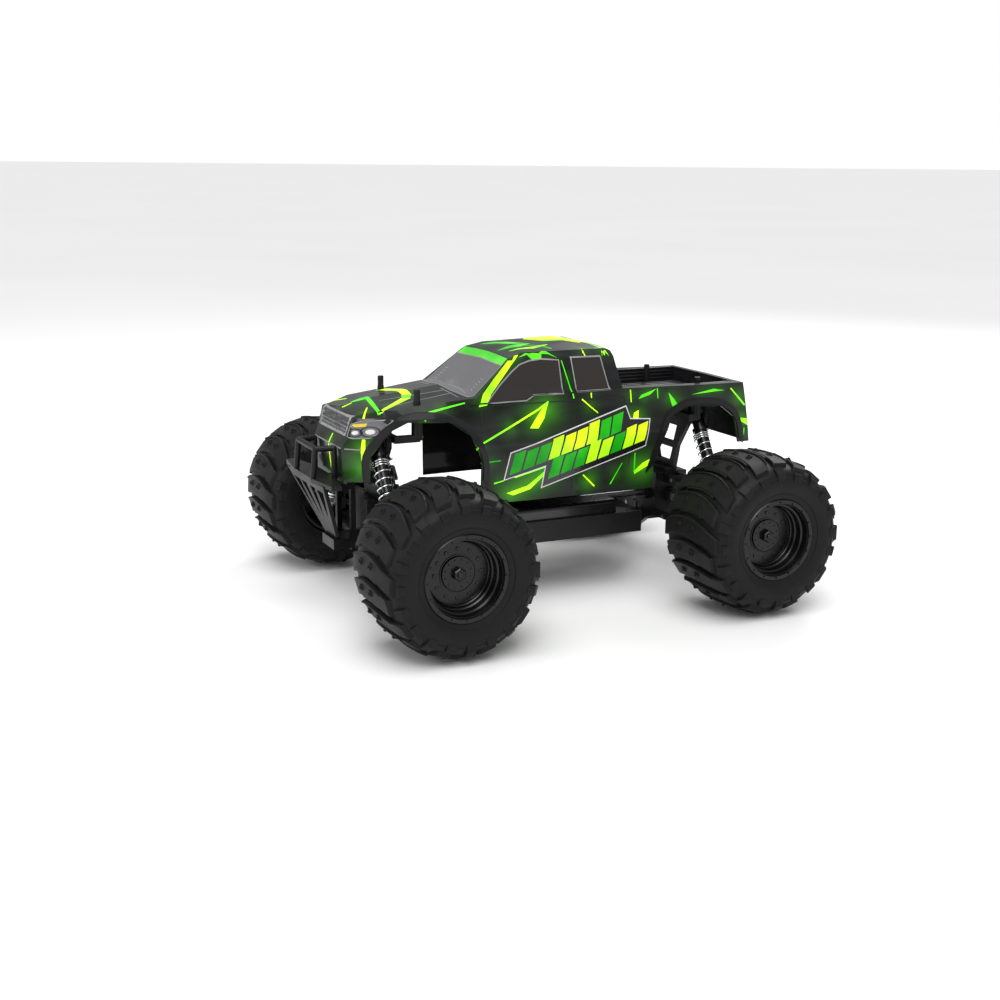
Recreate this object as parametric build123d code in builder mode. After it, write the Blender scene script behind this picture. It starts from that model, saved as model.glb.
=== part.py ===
"""Remote-controlled monster truck of the 1:16 class: four-wheel drive, double wishbones, lift-off body.

Frame: +X forward, +Y to the truck's left, +Z up, origin on the ground midway between the axles.
All sizes are millimetres.
"""
import math
import os
from dataclasses import dataclass

from build123d import *

# Wheels and stance
WHEELBASE = 196.0
TRACK = 200.0  # between the centre planes of the two wheels of an axle
TYRE_RADIUS = 47.5
TYRE_WIDTH = 59.0
LUG_COUNT = 20
LUG_DEPTH = 3.0
LUG_GAP = 5.0
CARCASS_WALL = 2.5
RIM_LIP_RADIUS = 23.2
RIM_BARREL_RADIUS = 22.6
RIM_WALL = 1.0
RIM_OUTER_FACE = 27.5  # from the wheel's centre plane outwards
RIM_INNER_FACE = 23.0  # from the wheel's centre plane inwards
RIM_PLATE_FACE = 14.5
RIM_PLATE_THICKNESS = 3.0
RIM_BOSS_RADIUS = 9.0
RIM_HOLE_COUNT = 6
RIM_HOLE_RADIUS = 3.0
RIM_HOLE_CIRCLE = 14.0
HEX_ACROSS_FLATS = 12.0
HEX_THICKNESS = 5.0
NUT_ACROSS_FLATS = 7.0
NUT_THICKNESS = 3.6

# Suspension pivots, as (distance from the centre plane, height)
ARM_INNER_Y = 22.0
ARM_OUTER_Y = 84.0
LOWER_PIVOT_Z = 38.5
ARM_SPACING = 23.0  # height of the upper hinge over the lower one
ARM_DROP = 2.5  # outer hinge below the inner one
PIN_RADIUS = 1.25
PIN_FIT = 0.02  # pressed pin in its boss
PIN_RUNNING = 0.05  # pin in a part that turns on it
SIDE_GAP = 0.4  # beside a part that swings between two ears
EAR_THICKNESS = 2.6
LOWER_ARM_HALF_LENGTH = 9.0
UPPER_ARM_HALF_LENGTH = 3.0
BOSS_RADIUS = 2.7
ARM_THICKNESS = 4.0

# Hubs
KINGPIN_RADIUS = 1.25
KNUCKLE_RADIUS = 6.0
KNUCKLE_GAP = 0.3
HUB_PLATE = 1.9
HUB_WEB_INNER_Y = 74.5
HUB_WEB_OUTER_Y = 77.5
HUB_HALF_LENGTH = 6.0
KINGPIN_PLATE_REACH = 2.6  # beyond the kingpin, short of the knuckle's housing at full lock
STEERING_RADIUS = 13.0
BALL_RADIUS = 2.0
BALL_GAP = 0.15

# Drive line
AXLE_RADIUS = 2.0
AXLE_RUNNING = 0.08
AXLE_END_Y = 119.5
CUP_RADIUS = 3.9
CUP_BORE = 3.2
CUP_SLOT = 3.4
CUP_RELIEF = 0.5  # free space round a drive cup
DOG_BALL = 2.3
DOG_PIN_RADIUS = 0.7
DOG_PIN_REACH = 3.4
DOG_SHAFT = 1.5
PLUNGE = 1.6  # how far a dogbone slides in its cups over the arm's travel
RING_GEAR_RADIUS = 9.5
RING_GEAR_FACE = 3.0  # ring gear's toothed face from the centre plane
RING_GEAR_THICKNESS = 3.0
DIFF_CASE_RADIUS = 5.0
BEVEL_GAP = 0.2
OUTDRIVE_RADIUS = 2.5
GEAR_MODULE = 0.6
SPUR_TEETH = 39
PINION_TEETH = 13
GEAR_WIDTH = 5.0
GEAR_REAR_X = -33.0

# Gearboxes and frame
CHASSIS_BOTTOM = 35.0
CHASSIS_FLOOR = 2.0
CHASSIS_HALF_WIDTH = 36.0
CHASSIS_WALL = 2.0
CHASSIS_WALL_HEIGHT = 11.0
CHASSIS_NARROW = 13.0
GEARBOX_HALF_LENGTH = 11.5
GEARBOX_HALF_WIDTH = 12.0
GEARBOX_TOP = 65.0
GEARBOX_WALL = 1.5
BEARING_BOSS_RADIUS = 5.0
BEARING_BOSS_END = 15.5

# Shocks
SHOCK_OFFSET = 10.0  # shock's plane beyond the axle
SHOCK_TOP = (21.0, 106.0)
SHOCK_FOOT = (60.0, 41.0)
SHOCK_PIN_RADIUS = 1.5
SHOCK_EYE_RADIUS = 3.8
SHOCK_EYE_HALF = 1.8
SHOCK_FOOT_GAP = 0.5
SHOCK_CYLINDER = 3.9
SHOCK_BORE = 3.0
SHOCK_ROD = 1.2
SPRING_WIRE = 0.9
SPRING_MEAN_RADIUS = 4.6
SPRING_TURNS = 9
TOWER_THICKNESS = 3.0
TOWER_OFFSET = 1.4  # tower's inner face beyond the axle

# Electrics
MOTOR_RADIUS = 12.2
MOTOR_LENGTH = 38.0
BATTERY_SIZE = (75.0, 19.5, 19.0)
RECEIVER_SIZE = (30.0, 25.0, 15.0)
FIN_HEIGHT = 2.0
SERVO_SIZE = (23.0, 12.0, 11.0)
SWITCH_TRAVEL = 3.0
SWITCH_KNOB = (3.0, 3.0, 4.0)

# Body shell
SHELL_WALL = 1.2
POST_RADIUS = 2.0
POST_HOLE_GAP = 0.4
POST_SHOULDER = 1.2  # ledge under the shell, clear of the shock at full bump
POST_TIP_RADIUS = 1.8  # free end above the shell, for a body clip
FRONT_TIP_Z = 125.0
REAR_TIP_Z = 117.0
FRONT_POST = (85.0, 28.4, 131.0)
REAR_POST = (-102.8, 30.0, 128.0)
BED_FLOOR = 116.0

# Worked out from the sizes above
AXLE_X = WHEELBASE / 2
WHEEL_Y = TRACK / 2
AXLE_Z = TYRE_RADIUS
ARM_SPAN = ARM_OUTER_Y - ARM_INNER_Y
UPPER_PIVOT_Z = LOWER_PIVOT_Z + ARM_SPACING
DIFF_Z = AXLE_Z + ARM_DROP
FLOOR_Z = CHASSIS_BOTTOM + CHASSIS_FLOOR
ENDS = (("front", 1), ("rear", -1))
SIDES = (("left", 1), ("right", -1))


@dataclass(frozen=True)
class Corner:
    """One corner of the truck: end is +1 at the front, side is +1 on the left."""

    end_name: str
    end: int
    side_name: str
    side: int

    @property
    def name(self):
        return f"{self.end_name}_{self.side_name}"

    def at(self, beyond, y, z):
        """Point a distance beyond the axle, away from the truck's middle."""
        return (self.end * (AXLE_X + beyond), self.side * y, z)


CORNERS = [Corner(end_name, end, side_name, side) for end_name, end in ENDS for side_name, side in SIDES]


def save(built, name):
    """Label a finished piece and write its STEP file."""
    built.part.label = name
    export_step(built.part, f"parts/{name}.step")


def bar(start, end, radius, mode=Mode.ADD):
    """Round bar between two points."""
    run = Vector(*end) - Vector(*start)
    with BuildSketch(Plane(origin=start, z_dir=run)) as section:
        Circle(radius)
    extrude(section.sketch, amount=run.length, mode=mode)


def block(low, high, mode=Mode.ADD):
    """Rectangular block between two opposite corners, given in any order."""
    middle = [(a + b) / 2 for a, b in zip(low, high)]
    size = [abs(b - a) for a, b in zip(low, high)]
    with Locations(tuple(middle)):
        Box(*size, mode=mode)


def prism(plane, points, depth, mode=Mode.ADD):
    """Polygon drawn on a plane and given a depth along its normal."""
    with BuildSketch(plane) as outline:
        with BuildLine():
            Polyline(*points, close=True)
        make_face()
    extrude(outline.sketch, amount=depth, mode=mode)


def ball(centre, radius):
    """Ball added at a point."""
    with Locations(centre):
        Sphere(radius)


def hex_prism(start, end, across_flats, mode=Mode.ADD):
    """Hexagonal bar between two points."""
    run = Vector(*end) - Vector(*start)
    with BuildSketch(Plane(origin=start, z_dir=run)) as section:
        RegularPolygon(across_flats / 2, 6, major_radius=False)
    extrude(section.sketch, amount=run.length, mode=mode)


def mirrored(points):
    """Outline given for the left half, completed across the centre line."""
    return list(points) + [(x, -y) for x, y in reversed(points)]


# ---------------------------------------------------------------------------------------------
# Wheels
# ---------------------------------------------------------------------------------------------
def wheel_profile(corner, points):
    """Points (distance outwards from the wheel's centre plane, radius) placed above the axle."""
    return [(corner.side * (WHEEL_Y + out), AXLE_Z + radius) for out, radius in points]


def wheel_axis(corner):
    return Axis(corner.at(0, 0, AXLE_Z), (0, 1, 0))


def revolved(corner, points, mode=Mode.ADD):
    """Ring turned about the wheel's axle from its section."""
    with BuildSketch(Plane.YZ.offset(corner.end * AXLE_X)) as section:
        with BuildLine():
            Polyline(*wheel_profile(corner, points), close=True)
        make_face()
    revolve(section.sketch, axis=wheel_axis(corner), mode=mode)


def make_tyre(corner):
    """Hollow tyre with crosswise lugs, staggered between its two halves."""
    half = TYRE_WIDTH / 2
    bead = RIM_BARREL_RADIUS + 0.1
    tread = TYRE_RADIUS
    inner = tread - LUG_DEPTH - CARCASS_WALL
    bead_out = RIM_OUTER_FACE - 3.2
    bead_in = -RIM_INNER_FACE + 1.7
    outside = [
        (bead_out, bead),
        (bead_out, bead + 0.8),
        (bead_out + 1.8, bead + 1.8),
        (half - 1, bead + 6.3),
        (half, bead + 12.3),
        (half - 1, tread - 6.5),
        (half - 5.5, tread - 1.5),
        (half - 11.5, tread),
        (-half + 11.5, tread),
        (-half + 5.5, tread - 1.5),
        (-half + 1, tread - 6.5),
        (-half, bead + 12.3),
        (-half + 1, bead + 6.3),
        (bead_in - 2.6, bead + 2.4),
        (bead_in, bead + 1.8),
        (bead_in, bead),
    ]
    inside = [
        (bead_in + CARCASS_WALL, bead),
        (-half + 4, bead + 6.3),
        (-half + CARCASS_WALL, bead + 12.3),
        (-half + 4, tread - 7.5),
        (-half + 9.5, inner),
        (half - 9.5, inner),
        (half - 4, tread - 7.5),
        (half - CARCASS_WALL, bead + 12.3),
        (half - 4, bead + 6.3),
        (bead_out - CARCASS_WALL, bead),
    ]
    with BuildPart() as tyre:
        revolved(corner, outside + inside)
        pitch = 360 / LUG_COUNT
        for half_sign, stagger in ((1, 0.5), (-1, 0.0)):
            middle = (half_sign * half / 2, tread)
            for k in range(LUG_COUNT):
                turn = math.radians((k + stagger + 0.25) * pitch)
                spoke = (math.sin(turn), 0, -math.cos(turn))
                centre = corner.at(0, WHEEL_Y + middle[0], AXLE_Z)
                groove = Plane(origin=centre, x_dir=(0, 1, 0), z_dir=spoke)
                with BuildSketch(groove.offset(tread - LUG_DEPTH)) as cut:
                    Rectangle(half, LUG_GAP)
                extrude(cut.sketch, amount=LUG_DEPTH * 2, mode=Mode.SUBTRACT)
    save(tyre, f"{corner.name}_tyre")


def make_rim(corner):
    """Deep-dish rim, with the stub axle that drives it, its hex adapter and its nut."""
    barrel_in = RIM_BARREL_RADIUS - RIM_WALL
    plate_in = RIM_PLATE_FACE - RIM_PLATE_THICKNESS
    boss_in = -1.0
    hex_in = -3.0
    hex_out = hex_in + HEX_THICKNESS
    with BuildPart() as rim:
        revolved(corner, [
            (-RIM_INNER_FACE, barrel_in), (-RIM_INNER_FACE, RIM_LIP_RADIUS + 1),
            (-RIM_INNER_FACE + 1.5, RIM_LIP_RADIUS + 1), (-RIM_INNER_FACE + 1.5, RIM_BARREL_RADIUS),
            (RIM_OUTER_FACE - 3, RIM_BARREL_RADIUS), (RIM_OUTER_FACE - 3, RIM_LIP_RADIUS),
            (RIM_OUTER_FACE, RIM_LIP_RADIUS), (RIM_OUTER_FACE, barrel_in),
        ])
        revolved(corner, [
            (plate_in, AXLE_RADIUS + PIN_RUNNING), (plate_in, barrel_in + 0.5),
            (RIM_PLATE_FACE, barrel_in + 0.5), (RIM_PLATE_FACE, AXLE_RADIUS + PIN_RUNNING),
        ])
        revolved(corner, [
            (boss_in, AXLE_RADIUS + PIN_RUNNING), (boss_in, RIM_BOSS_RADIUS),
            (plate_in, RIM_BOSS_RADIUS), (plate_in, AXLE_RADIUS + PIN_RUNNING),
        ])
        hex_prism(corner.at(0, WHEEL_Y + boss_in, AXLE_Z), corner.at(0, WHEEL_Y + hex_out + 0.2, AXLE_Z),
                  HEX_ACROSS_FLATS + 0.2, mode=Mode.SUBTRACT)
        for k in range(RIM_HOLE_COUNT):
            turn = math.radians(k * 360 / RIM_HOLE_COUNT)
            beyond = RIM_HOLE_CIRCLE * math.cos(turn)
            height = AXLE_Z + RIM_HOLE_CIRCLE * math.sin(turn)
            bar(corner.at(beyond, WHEEL_Y + plate_in - 1, height),
                corner.at(beyond, WHEEL_Y + RIM_PLATE_FACE + 1,
                    height), RIM_HOLE_RADIUS, mode=Mode.SUBTRACT)
    cup_mouth = ARM_OUTER_Y - 2.9
    cup_floor = ARM_OUTER_Y + DOG_BALL + PLUNGE + 0.4
    cup_back = cup_floor + 0.5
    with BuildPart() as stub_axle:
        bar(corner.at(0, cup_mouth, AXLE_Z), corner.at(0, cup_back, AXLE_Z), CUP_RADIUS)
        bar(corner.at(0, cup_back, AXLE_Z), corner.at(0, AXLE_END_Y, AXLE_Z), AXLE_RADIUS)
        bar(corner.at(0, cup_mouth, AXLE_Z), corner.at(0, cup_floor, AXLE_Z), CUP_BORE, mode=Mode.SUBTRACT)
        block(corner.at(-CUP_RADIUS - 1, cup_mouth - 1, AXLE_Z - CUP_SLOT / 2),
              corner.at(CUP_RADIUS + 1, cup_floor - 0.3, AXLE_Z + CUP_SLOT / 2), mode=Mode.SUBTRACT)
    with BuildPart() as adapter:
        hex_prism(corner.at(0, WHEEL_Y + hex_in, AXLE_Z), corner.at(0, WHEEL_Y + hex_out, AXLE_Z),
            HEX_ACROSS_FLATS)
        bar(corner.at(0, WHEEL_Y + hex_in, AXLE_Z), corner.at(0, WHEEL_Y + hex_out, AXLE_Z),
            AXLE_RADIUS + PIN_FIT, mode=Mode.SUBTRACT)
    nut_in = WHEEL_Y + RIM_PLATE_FACE
    with BuildPart() as nut:
        hex_prism(corner.at(0, nut_in, AXLE_Z), corner.at(0, nut_in + NUT_THICKNESS, AXLE_Z),
            NUT_ACROSS_FLATS)
        bar(corner.at(0, nut_in, AXLE_Z), corner.at(0, nut_in + NUT_THICKNESS, AXLE_Z),
            AXLE_RADIUS + PIN_FIT, mode=Mode.SUBTRACT)
    save_group(f"{corner.name}_rim", rim, stub_axle, adapter, nut)


def save_group(name, *pieces):
    """Write several separate solids of one body as one node."""
    group = Compound(label=name, children=[solid for piece in pieces for solid in piece.part.solids()])
    export_step(group, f"parts/{name}.step")


# ---------------------------------------------------------------------------------------------
# Suspension
# ---------------------------------------------------------------------------------------------
def arm_plane(corner, inner_z):
    """Plane lying along an arm: local x runs outwards from the inner hinge, local z is up."""
    origin = corner.at(0, ARM_INNER_Y, inner_z)
    return Plane(origin=origin, x_dir=(0, corner.side * ARM_SPAN, -ARM_DROP), z_dir=(0,
        corner.side * ARM_DROP, ARM_SPAN))


def along_arm(corner, points):
    """Points (distance along the arm, distance beyond the axle) in an arm plane's own directions."""
    return [(run, -corner.side * corner.end * beyond) for run, beyond in points]


def make_lower_arm(corner):
    """Lower wishbone: hinge tube, open plate, outer fork and the pin that carries the shock's foot."""
    plane = arm_plane(corner, LOWER_PIVOT_Z)
    outer_z = LOWER_PIVOT_Z - ARM_DROP
    tube = LOWER_ARM_HALF_LENGTH
    prong_in = HUB_HALF_LENGTH - 2
    prong_out = prong_in + 3
    thin_from = HUB_WEB_INNER_Y - ARM_INNER_Y - 3
    foot_y, foot_z = SHOCK_FOOT
    with BuildPart() as lower_arm:
        bar(corner.at(-tube, ARM_INNER_Y, LOWER_PIVOT_Z), corner.at(tube, ARM_INNER_Y, LOWER_PIVOT_Z),
            BOSS_RADIUS)
        prism(plane.offset(-ARM_THICKNESS / 2), along_arm(corner, [
            (0, -tube), (4, -tube), (40, -7), (thin_from, -prong_out), (thin_from, prong_out), (40, 7),
            (4, tube), (0, tube),
        ]), ARM_THICKNESS)
        for near, far, width in ((7, 20, 5.5), (23, 35, 4.5)):
            prism(plane.offset(-ARM_THICKNESS), along_arm(corner, [
                (near, -width), (far, -width + 1), (far, -0.8), (near, -0.8),
            ]), 2 * ARM_THICKNESS, mode=Mode.SUBTRACT)
            prism(plane.offset(-ARM_THICKNESS), along_arm(corner, [
                (near, 0.8), (far, 0.8), (far, width - 1), (near, width),
            ]), 2 * ARM_THICKNESS, mode=Mode.SUBTRACT)
        for sign in (-1, 1):
            prism(plane.offset(-ARM_THICKNESS / 2 - 0.2), along_arm(corner, [
                (thin_from - 2, sign * prong_in), (ARM_SPAN, sign * prong_in),
                (ARM_SPAN, sign * prong_out), (thin_from - 2, sign * prong_out),
            ]), ARM_THICKNESS - 1.2)
            bar(corner.at(sign * prong_in, ARM_OUTER_Y, outer_z), corner.at(sign * prong_out, ARM_OUTER_Y,
                outer_z),
                BOSS_RADIUS)
        block(corner.at(4.5, foot_y - 2.6, outer_z + 0.4), corner.at(7.2, foot_y + 2.6, foot_z + 2.4))
        bar(corner.at(6, foot_y, foot_z), corner.at(SHOCK_OFFSET + SHOCK_EYE_HALF + 1, foot_y, foot_z),
            SHOCK_PIN_RADIUS)
        bar(corner.at(SHOCK_OFFSET + SHOCK_EYE_HALF + 0.5, foot_y, foot_z),
            corner.at(SHOCK_OFFSET + SHOCK_EYE_HALF + 1.5, foot_y, foot_z), SHOCK_PIN_RADIUS + 1.2)
        bar(corner.at(-tube - 1, ARM_INNER_Y, LOWER_PIVOT_Z), corner.at(tube + 1, ARM_INNER_Y,
            LOWER_PIVOT_Z),
            PIN_RADIUS + PIN_RUNNING, mode=Mode.SUBTRACT)
        bar(corner.at(-prong_out - 1, ARM_OUTER_Y, outer_z), corner.at(prong_out + 1, ARM_OUTER_Y, outer_z),
            PIN_RADIUS + PIN_RUNNING, mode=Mode.SUBTRACT)
    save(lower_arm, f"{corner.name}_lower_arm")


def make_upper_arm(corner):
    """Upper link with an eye at each end and a hexagon in the middle for the spanner."""
    outer_z = UPPER_PIVOT_Z - ARM_DROP
    half = UPPER_ARM_HALF_LENGTH
    middle_y = (ARM_INNER_Y + ARM_OUTER_Y) / 2
    middle_z = (UPPER_PIVOT_Z + outer_z) / 2
    slope = ARM_DROP / ARM_SPAN
    with BuildPart() as upper_arm:
        bar(corner.at(-half, ARM_INNER_Y, UPPER_PIVOT_Z), corner.at(half, ARM_INNER_Y, UPPER_PIVOT_Z),
            BOSS_RADIUS)
        bar(corner.at(-half, ARM_OUTER_Y, outer_z), corner.at(half, ARM_OUTER_Y, outer_z), BOSS_RADIUS)
        bar(corner.at(0, ARM_INNER_Y + 1, UPPER_PIVOT_Z - slope), corner.at(0, ARM_OUTER_Y - 1,
            outer_z + slope), 1.8)
        hex_prism(corner.at(0, middle_y - 4, middle_z + 4 * slope), corner.at(0, middle_y + 4,
            middle_z - 4 * slope), 4.6)
        for y, z in ((ARM_INNER_Y, UPPER_PIVOT_Z), (ARM_OUTER_Y, outer_z)):
            bar(corner.at(-half - 1, y, z), corner.at(half + 1, y, z), PIN_RADIUS + PIN_RUNNING,
                mode=Mode.SUBTRACT)
    save(upper_arm, f"{corner.name}_upper_arm")


def hub_ears(corner, inner_y, plate_top):
    """Ears for the upper link and boss for the lower arm, joined to the plates of a hub."""
    lower_z = LOWER_PIVOT_Z - ARM_DROP
    upper_z = UPPER_PIVOT_Z - ARM_DROP
    ear_in = UPPER_ARM_HALF_LENGTH + SIDE_GAP
    ear_out = ear_in + EAR_THICKNESS
    boss = HUB_HALF_LENGTH - 2 - SIDE_GAP
    for sign in (-1, 1):
        block(corner.at(sign * ear_in, ARM_OUTER_Y - BOSS_RADIUS, plate_top - 1.5),
              corner.at(sign * ear_out, ARM_OUTER_Y + BOSS_RADIUS, upper_z + BOSS_RADIUS))
    bar(corner.at(-boss, ARM_OUTER_Y, lower_z), corner.at(boss, ARM_OUTER_Y, lower_z), BOSS_RADIUS)
    block(corner.at(-boss, inner_y, lower_z + 1), corner.at(boss, ARM_OUTER_Y + BOSS_RADIUS, lower_z + 4.5))


def hub_pin_holes(corner):
    """Pressed holes for the two outer hinge pins."""
    boss = HUB_HALF_LENGTH + 2
    for z in (LOWER_PIVOT_Z - ARM_DROP, UPPER_PIVOT_Z - ARM_DROP):
        bar(corner.at(-boss, ARM_OUTER_Y, z), corner.at(boss, ARM_OUTER_Y, z), PIN_RADIUS + PIN_FIT,
            mode=Mode.SUBTRACT)


def outer_pins(corner):
    """The two hinge pins that a hub carries."""
    lower_reach = HUB_HALF_LENGTH + 1.6
    upper_reach = UPPER_ARM_HALF_LENGTH + SIDE_GAP + EAR_THICKNESS + 0.5
    pieces = []
    for z, reach in ((LOWER_PIVOT_Z - ARM_DROP, lower_reach), (UPPER_PIVOT_Z - ARM_DROP, upper_reach)):
        with BuildPart() as pin:
            bar(corner.at(-reach, ARM_OUTER_Y, z), corner.at(reach, ARM_OUTER_Y, z), PIN_RADIUS)
        pieces.append(pin)
    return pieces


def make_c_hub(corner):
    """Front hub carrier, open at the front and back, that holds the knuckle on two kingpins."""
    gap = KNUCKLE_RADIUS + KNUCKLE_GAP
    plate_top = AXLE_Z + gap + HUB_PLATE
    plate_bottom = AXLE_Z - gap - HUB_PLATE
    half = HUB_HALF_LENGTH
    plate_end = ARM_OUTER_Y + KINGPIN_PLATE_REACH
    with BuildPart() as c_hub:
        block(corner.at(-half, HUB_WEB_INNER_Y, plate_bottom), corner.at(half, HUB_WEB_OUTER_Y, plate_top))
        block(corner.at(-half, HUB_WEB_INNER_Y, AXLE_Z + gap), corner.at(half, plate_end, plate_top))
        block(corner.at(-half, HUB_WEB_INNER_Y, plate_bottom), corner.at(half, plate_end, AXLE_Z - gap))
        hub_ears(corner, ARM_OUTER_Y - BOSS_RADIUS, plate_top)
        bar(corner.at(0, HUB_WEB_INNER_Y - 1, AXLE_Z), corner.at(0, HUB_WEB_OUTER_Y + 1, AXLE_Z),
            CUP_RADIUS + 1, mode=Mode.SUBTRACT)
        bar(corner.at(0, ARM_OUTER_Y, plate_bottom - 0.2), corner.at(0, ARM_OUTER_Y, AXLE_Z - gap + 1),
            KINGPIN_RADIUS + PIN_FIT, mode=Mode.SUBTRACT)
        bar(corner.at(0, ARM_OUTER_Y, AXLE_Z + gap - 1), corner.at(0, ARM_OUTER_Y, plate_top + 1),
            KINGPIN_RADIUS + PIN_FIT, mode=Mode.SUBTRACT)
        hub_pin_holes(corner)
    reach = KNUCKLE_RADIUS - 1.5
    kingpins = []
    for foot, head in ((plate_bottom - 0.2, AXLE_Z - reach), (AXLE_Z + reach, plate_top)):
        with BuildPart() as kingpin:
            bar(corner.at(0, ARM_OUTER_Y, foot), corner.at(0, ARM_OUTER_Y, head), KINGPIN_RADIUS)
        kingpins.append(kingpin)
    save_group(f"{corner.name}_c_hub", c_hub, *kingpins, *outer_pins(corner))


def bearing_carrier(corner, housing_radius, outer_radius):
    """Housing round the drive cup and the stub axle's bearing seat."""
    cup_end = ARM_OUTER_Y + DOG_BALL + PLUNGE + 1.2
    outer_end = WHEEL_Y - 3.7
    bar(corner.at(0, ARM_OUTER_Y - 3.5, AXLE_Z), corner.at(0, cup_end + 2, AXLE_Z), housing_radius)
    bar(corner.at(0, cup_end - 0.6, AXLE_Z), corner.at(0, outer_end, AXLE_Z), outer_radius)


def bearing_holes(corner):
    """Clearance round the drive cup and running bore for the stub axle."""
    cup_end = ARM_OUTER_Y + DOG_BALL + PLUNGE + 1.2
    bar(corner.at(0, HUB_WEB_INNER_Y - 2, AXLE_Z), corner.at(0, cup_end, AXLE_Z),
        CUP_RADIUS + CUP_RELIEF, mode=Mode.SUBTRACT)
    bar(corner.at(0, cup_end - 1, AXLE_Z), corner.at(0, WHEEL_Y, AXLE_Z), AXLE_RADIUS + AXLE_RUNNING,
        mode=Mode.SUBTRACT)


def make_knuckle(corner):
    """Steering knuckle: housing, rearward steering arm and its ball stud."""
    arm_top = AXLE_Z + 1.9
    ball_z = AXLE_Z + 4.5
    with BuildPart() as knuckle:
        bearing_carrier(corner, KNUCKLE_RADIUS, KNUCKLE_RADIUS + 1)
        block(corner.at(-STEERING_RADIUS - 1.6, ARM_OUTER_Y - 1.8, arm_top - 2.4),
              corner.at(-KNUCKLE_RADIUS + 1.4, ARM_OUTER_Y + 1.8, arm_top))
        bar(corner.at(-STEERING_RADIUS, ARM_OUTER_Y, arm_top - 0.5), corner.at(-STEERING_RADIUS,
            ARM_OUTER_Y, ball_z), 1)
        ball(corner.at(-STEERING_RADIUS, ARM_OUTER_Y, ball_z), BALL_RADIUS)
        bearing_holes(corner)
        bar(corner.at(0, ARM_OUTER_Y, AXLE_Z - KNUCKLE_RADIUS - 1), corner.at(0, ARM_OUTER_Y,
            AXLE_Z + KNUCKLE_RADIUS + 1),
            KINGPIN_RADIUS + PIN_RUNNING, mode=Mode.SUBTRACT)
    save(knuckle, f"{corner.name}_knuckle")


def make_hub_carrier(corner):
    """Rear hub: the bearing housing with its hinge ears, which doesn't steer."""
    plate_top = AXLE_Z + KNUCKLE_RADIUS + 2
    half = HUB_HALF_LENGTH
    web_y = ARM_OUTER_Y - 3.5
    with BuildPart() as hub_carrier:
        bearing_carrier(corner, KNUCKLE_RADIUS, KNUCKLE_RADIUS + 1)
        block(corner.at(-half, web_y, AXLE_Z), corner.at(half, ARM_OUTER_Y + 3.5, plate_top))
        block(corner.at(-half, web_y, AXLE_Z - KNUCKLE_RADIUS - 2), corner.at(half, ARM_OUTER_Y + 3.5,
            AXLE_Z))
        hub_ears(corner, ARM_OUTER_Y - BOSS_RADIUS, plate_top)
        bearing_holes(corner)
        hub_pin_holes(corner)
    save_group(f"{corner.name}_hub_carrier", hub_carrier, *outer_pins(corner))


def shock_point(corner, distance):
    """Point down the shock's line, measured from its top eye."""
    top_y, top_z = SHOCK_TOP
    foot_y, foot_z = SHOCK_FOOT
    length = math.hypot(foot_y - top_y, foot_z - top_z)
    share = distance / length
    return corner.at(SHOCK_OFFSET, top_y + share * (foot_y - top_y), top_z + share * (foot_z - top_z))


SHOCK_LENGTH = math.hypot(SHOCK_FOOT[0] - SHOCK_TOP[0], SHOCK_FOOT[1] - SHOCK_TOP[1])
CYLINDER_TOP = 5.0
CYLINDER_END = 36.0
COLLAR_AT = 13.0
COLLAR_THICKNESS = 2.0
SEAT_AT = 61.5
SEAT_THICKNESS = 1.5
PISTON_AT = 25.5


def shock_eye(corner, centre_distance, bore):
    """Eye across one end of the shock."""
    x, y, z = shock_point(corner, centre_distance)
    bar((x - SHOCK_EYE_HALF, y, z), (x + SHOCK_EYE_HALF, y, z), SHOCK_EYE_RADIUS)
    return (x - SHOCK_EYE_HALF - 1, y, z), (x + SHOCK_EYE_HALF + 1, y, z), bore


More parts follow.
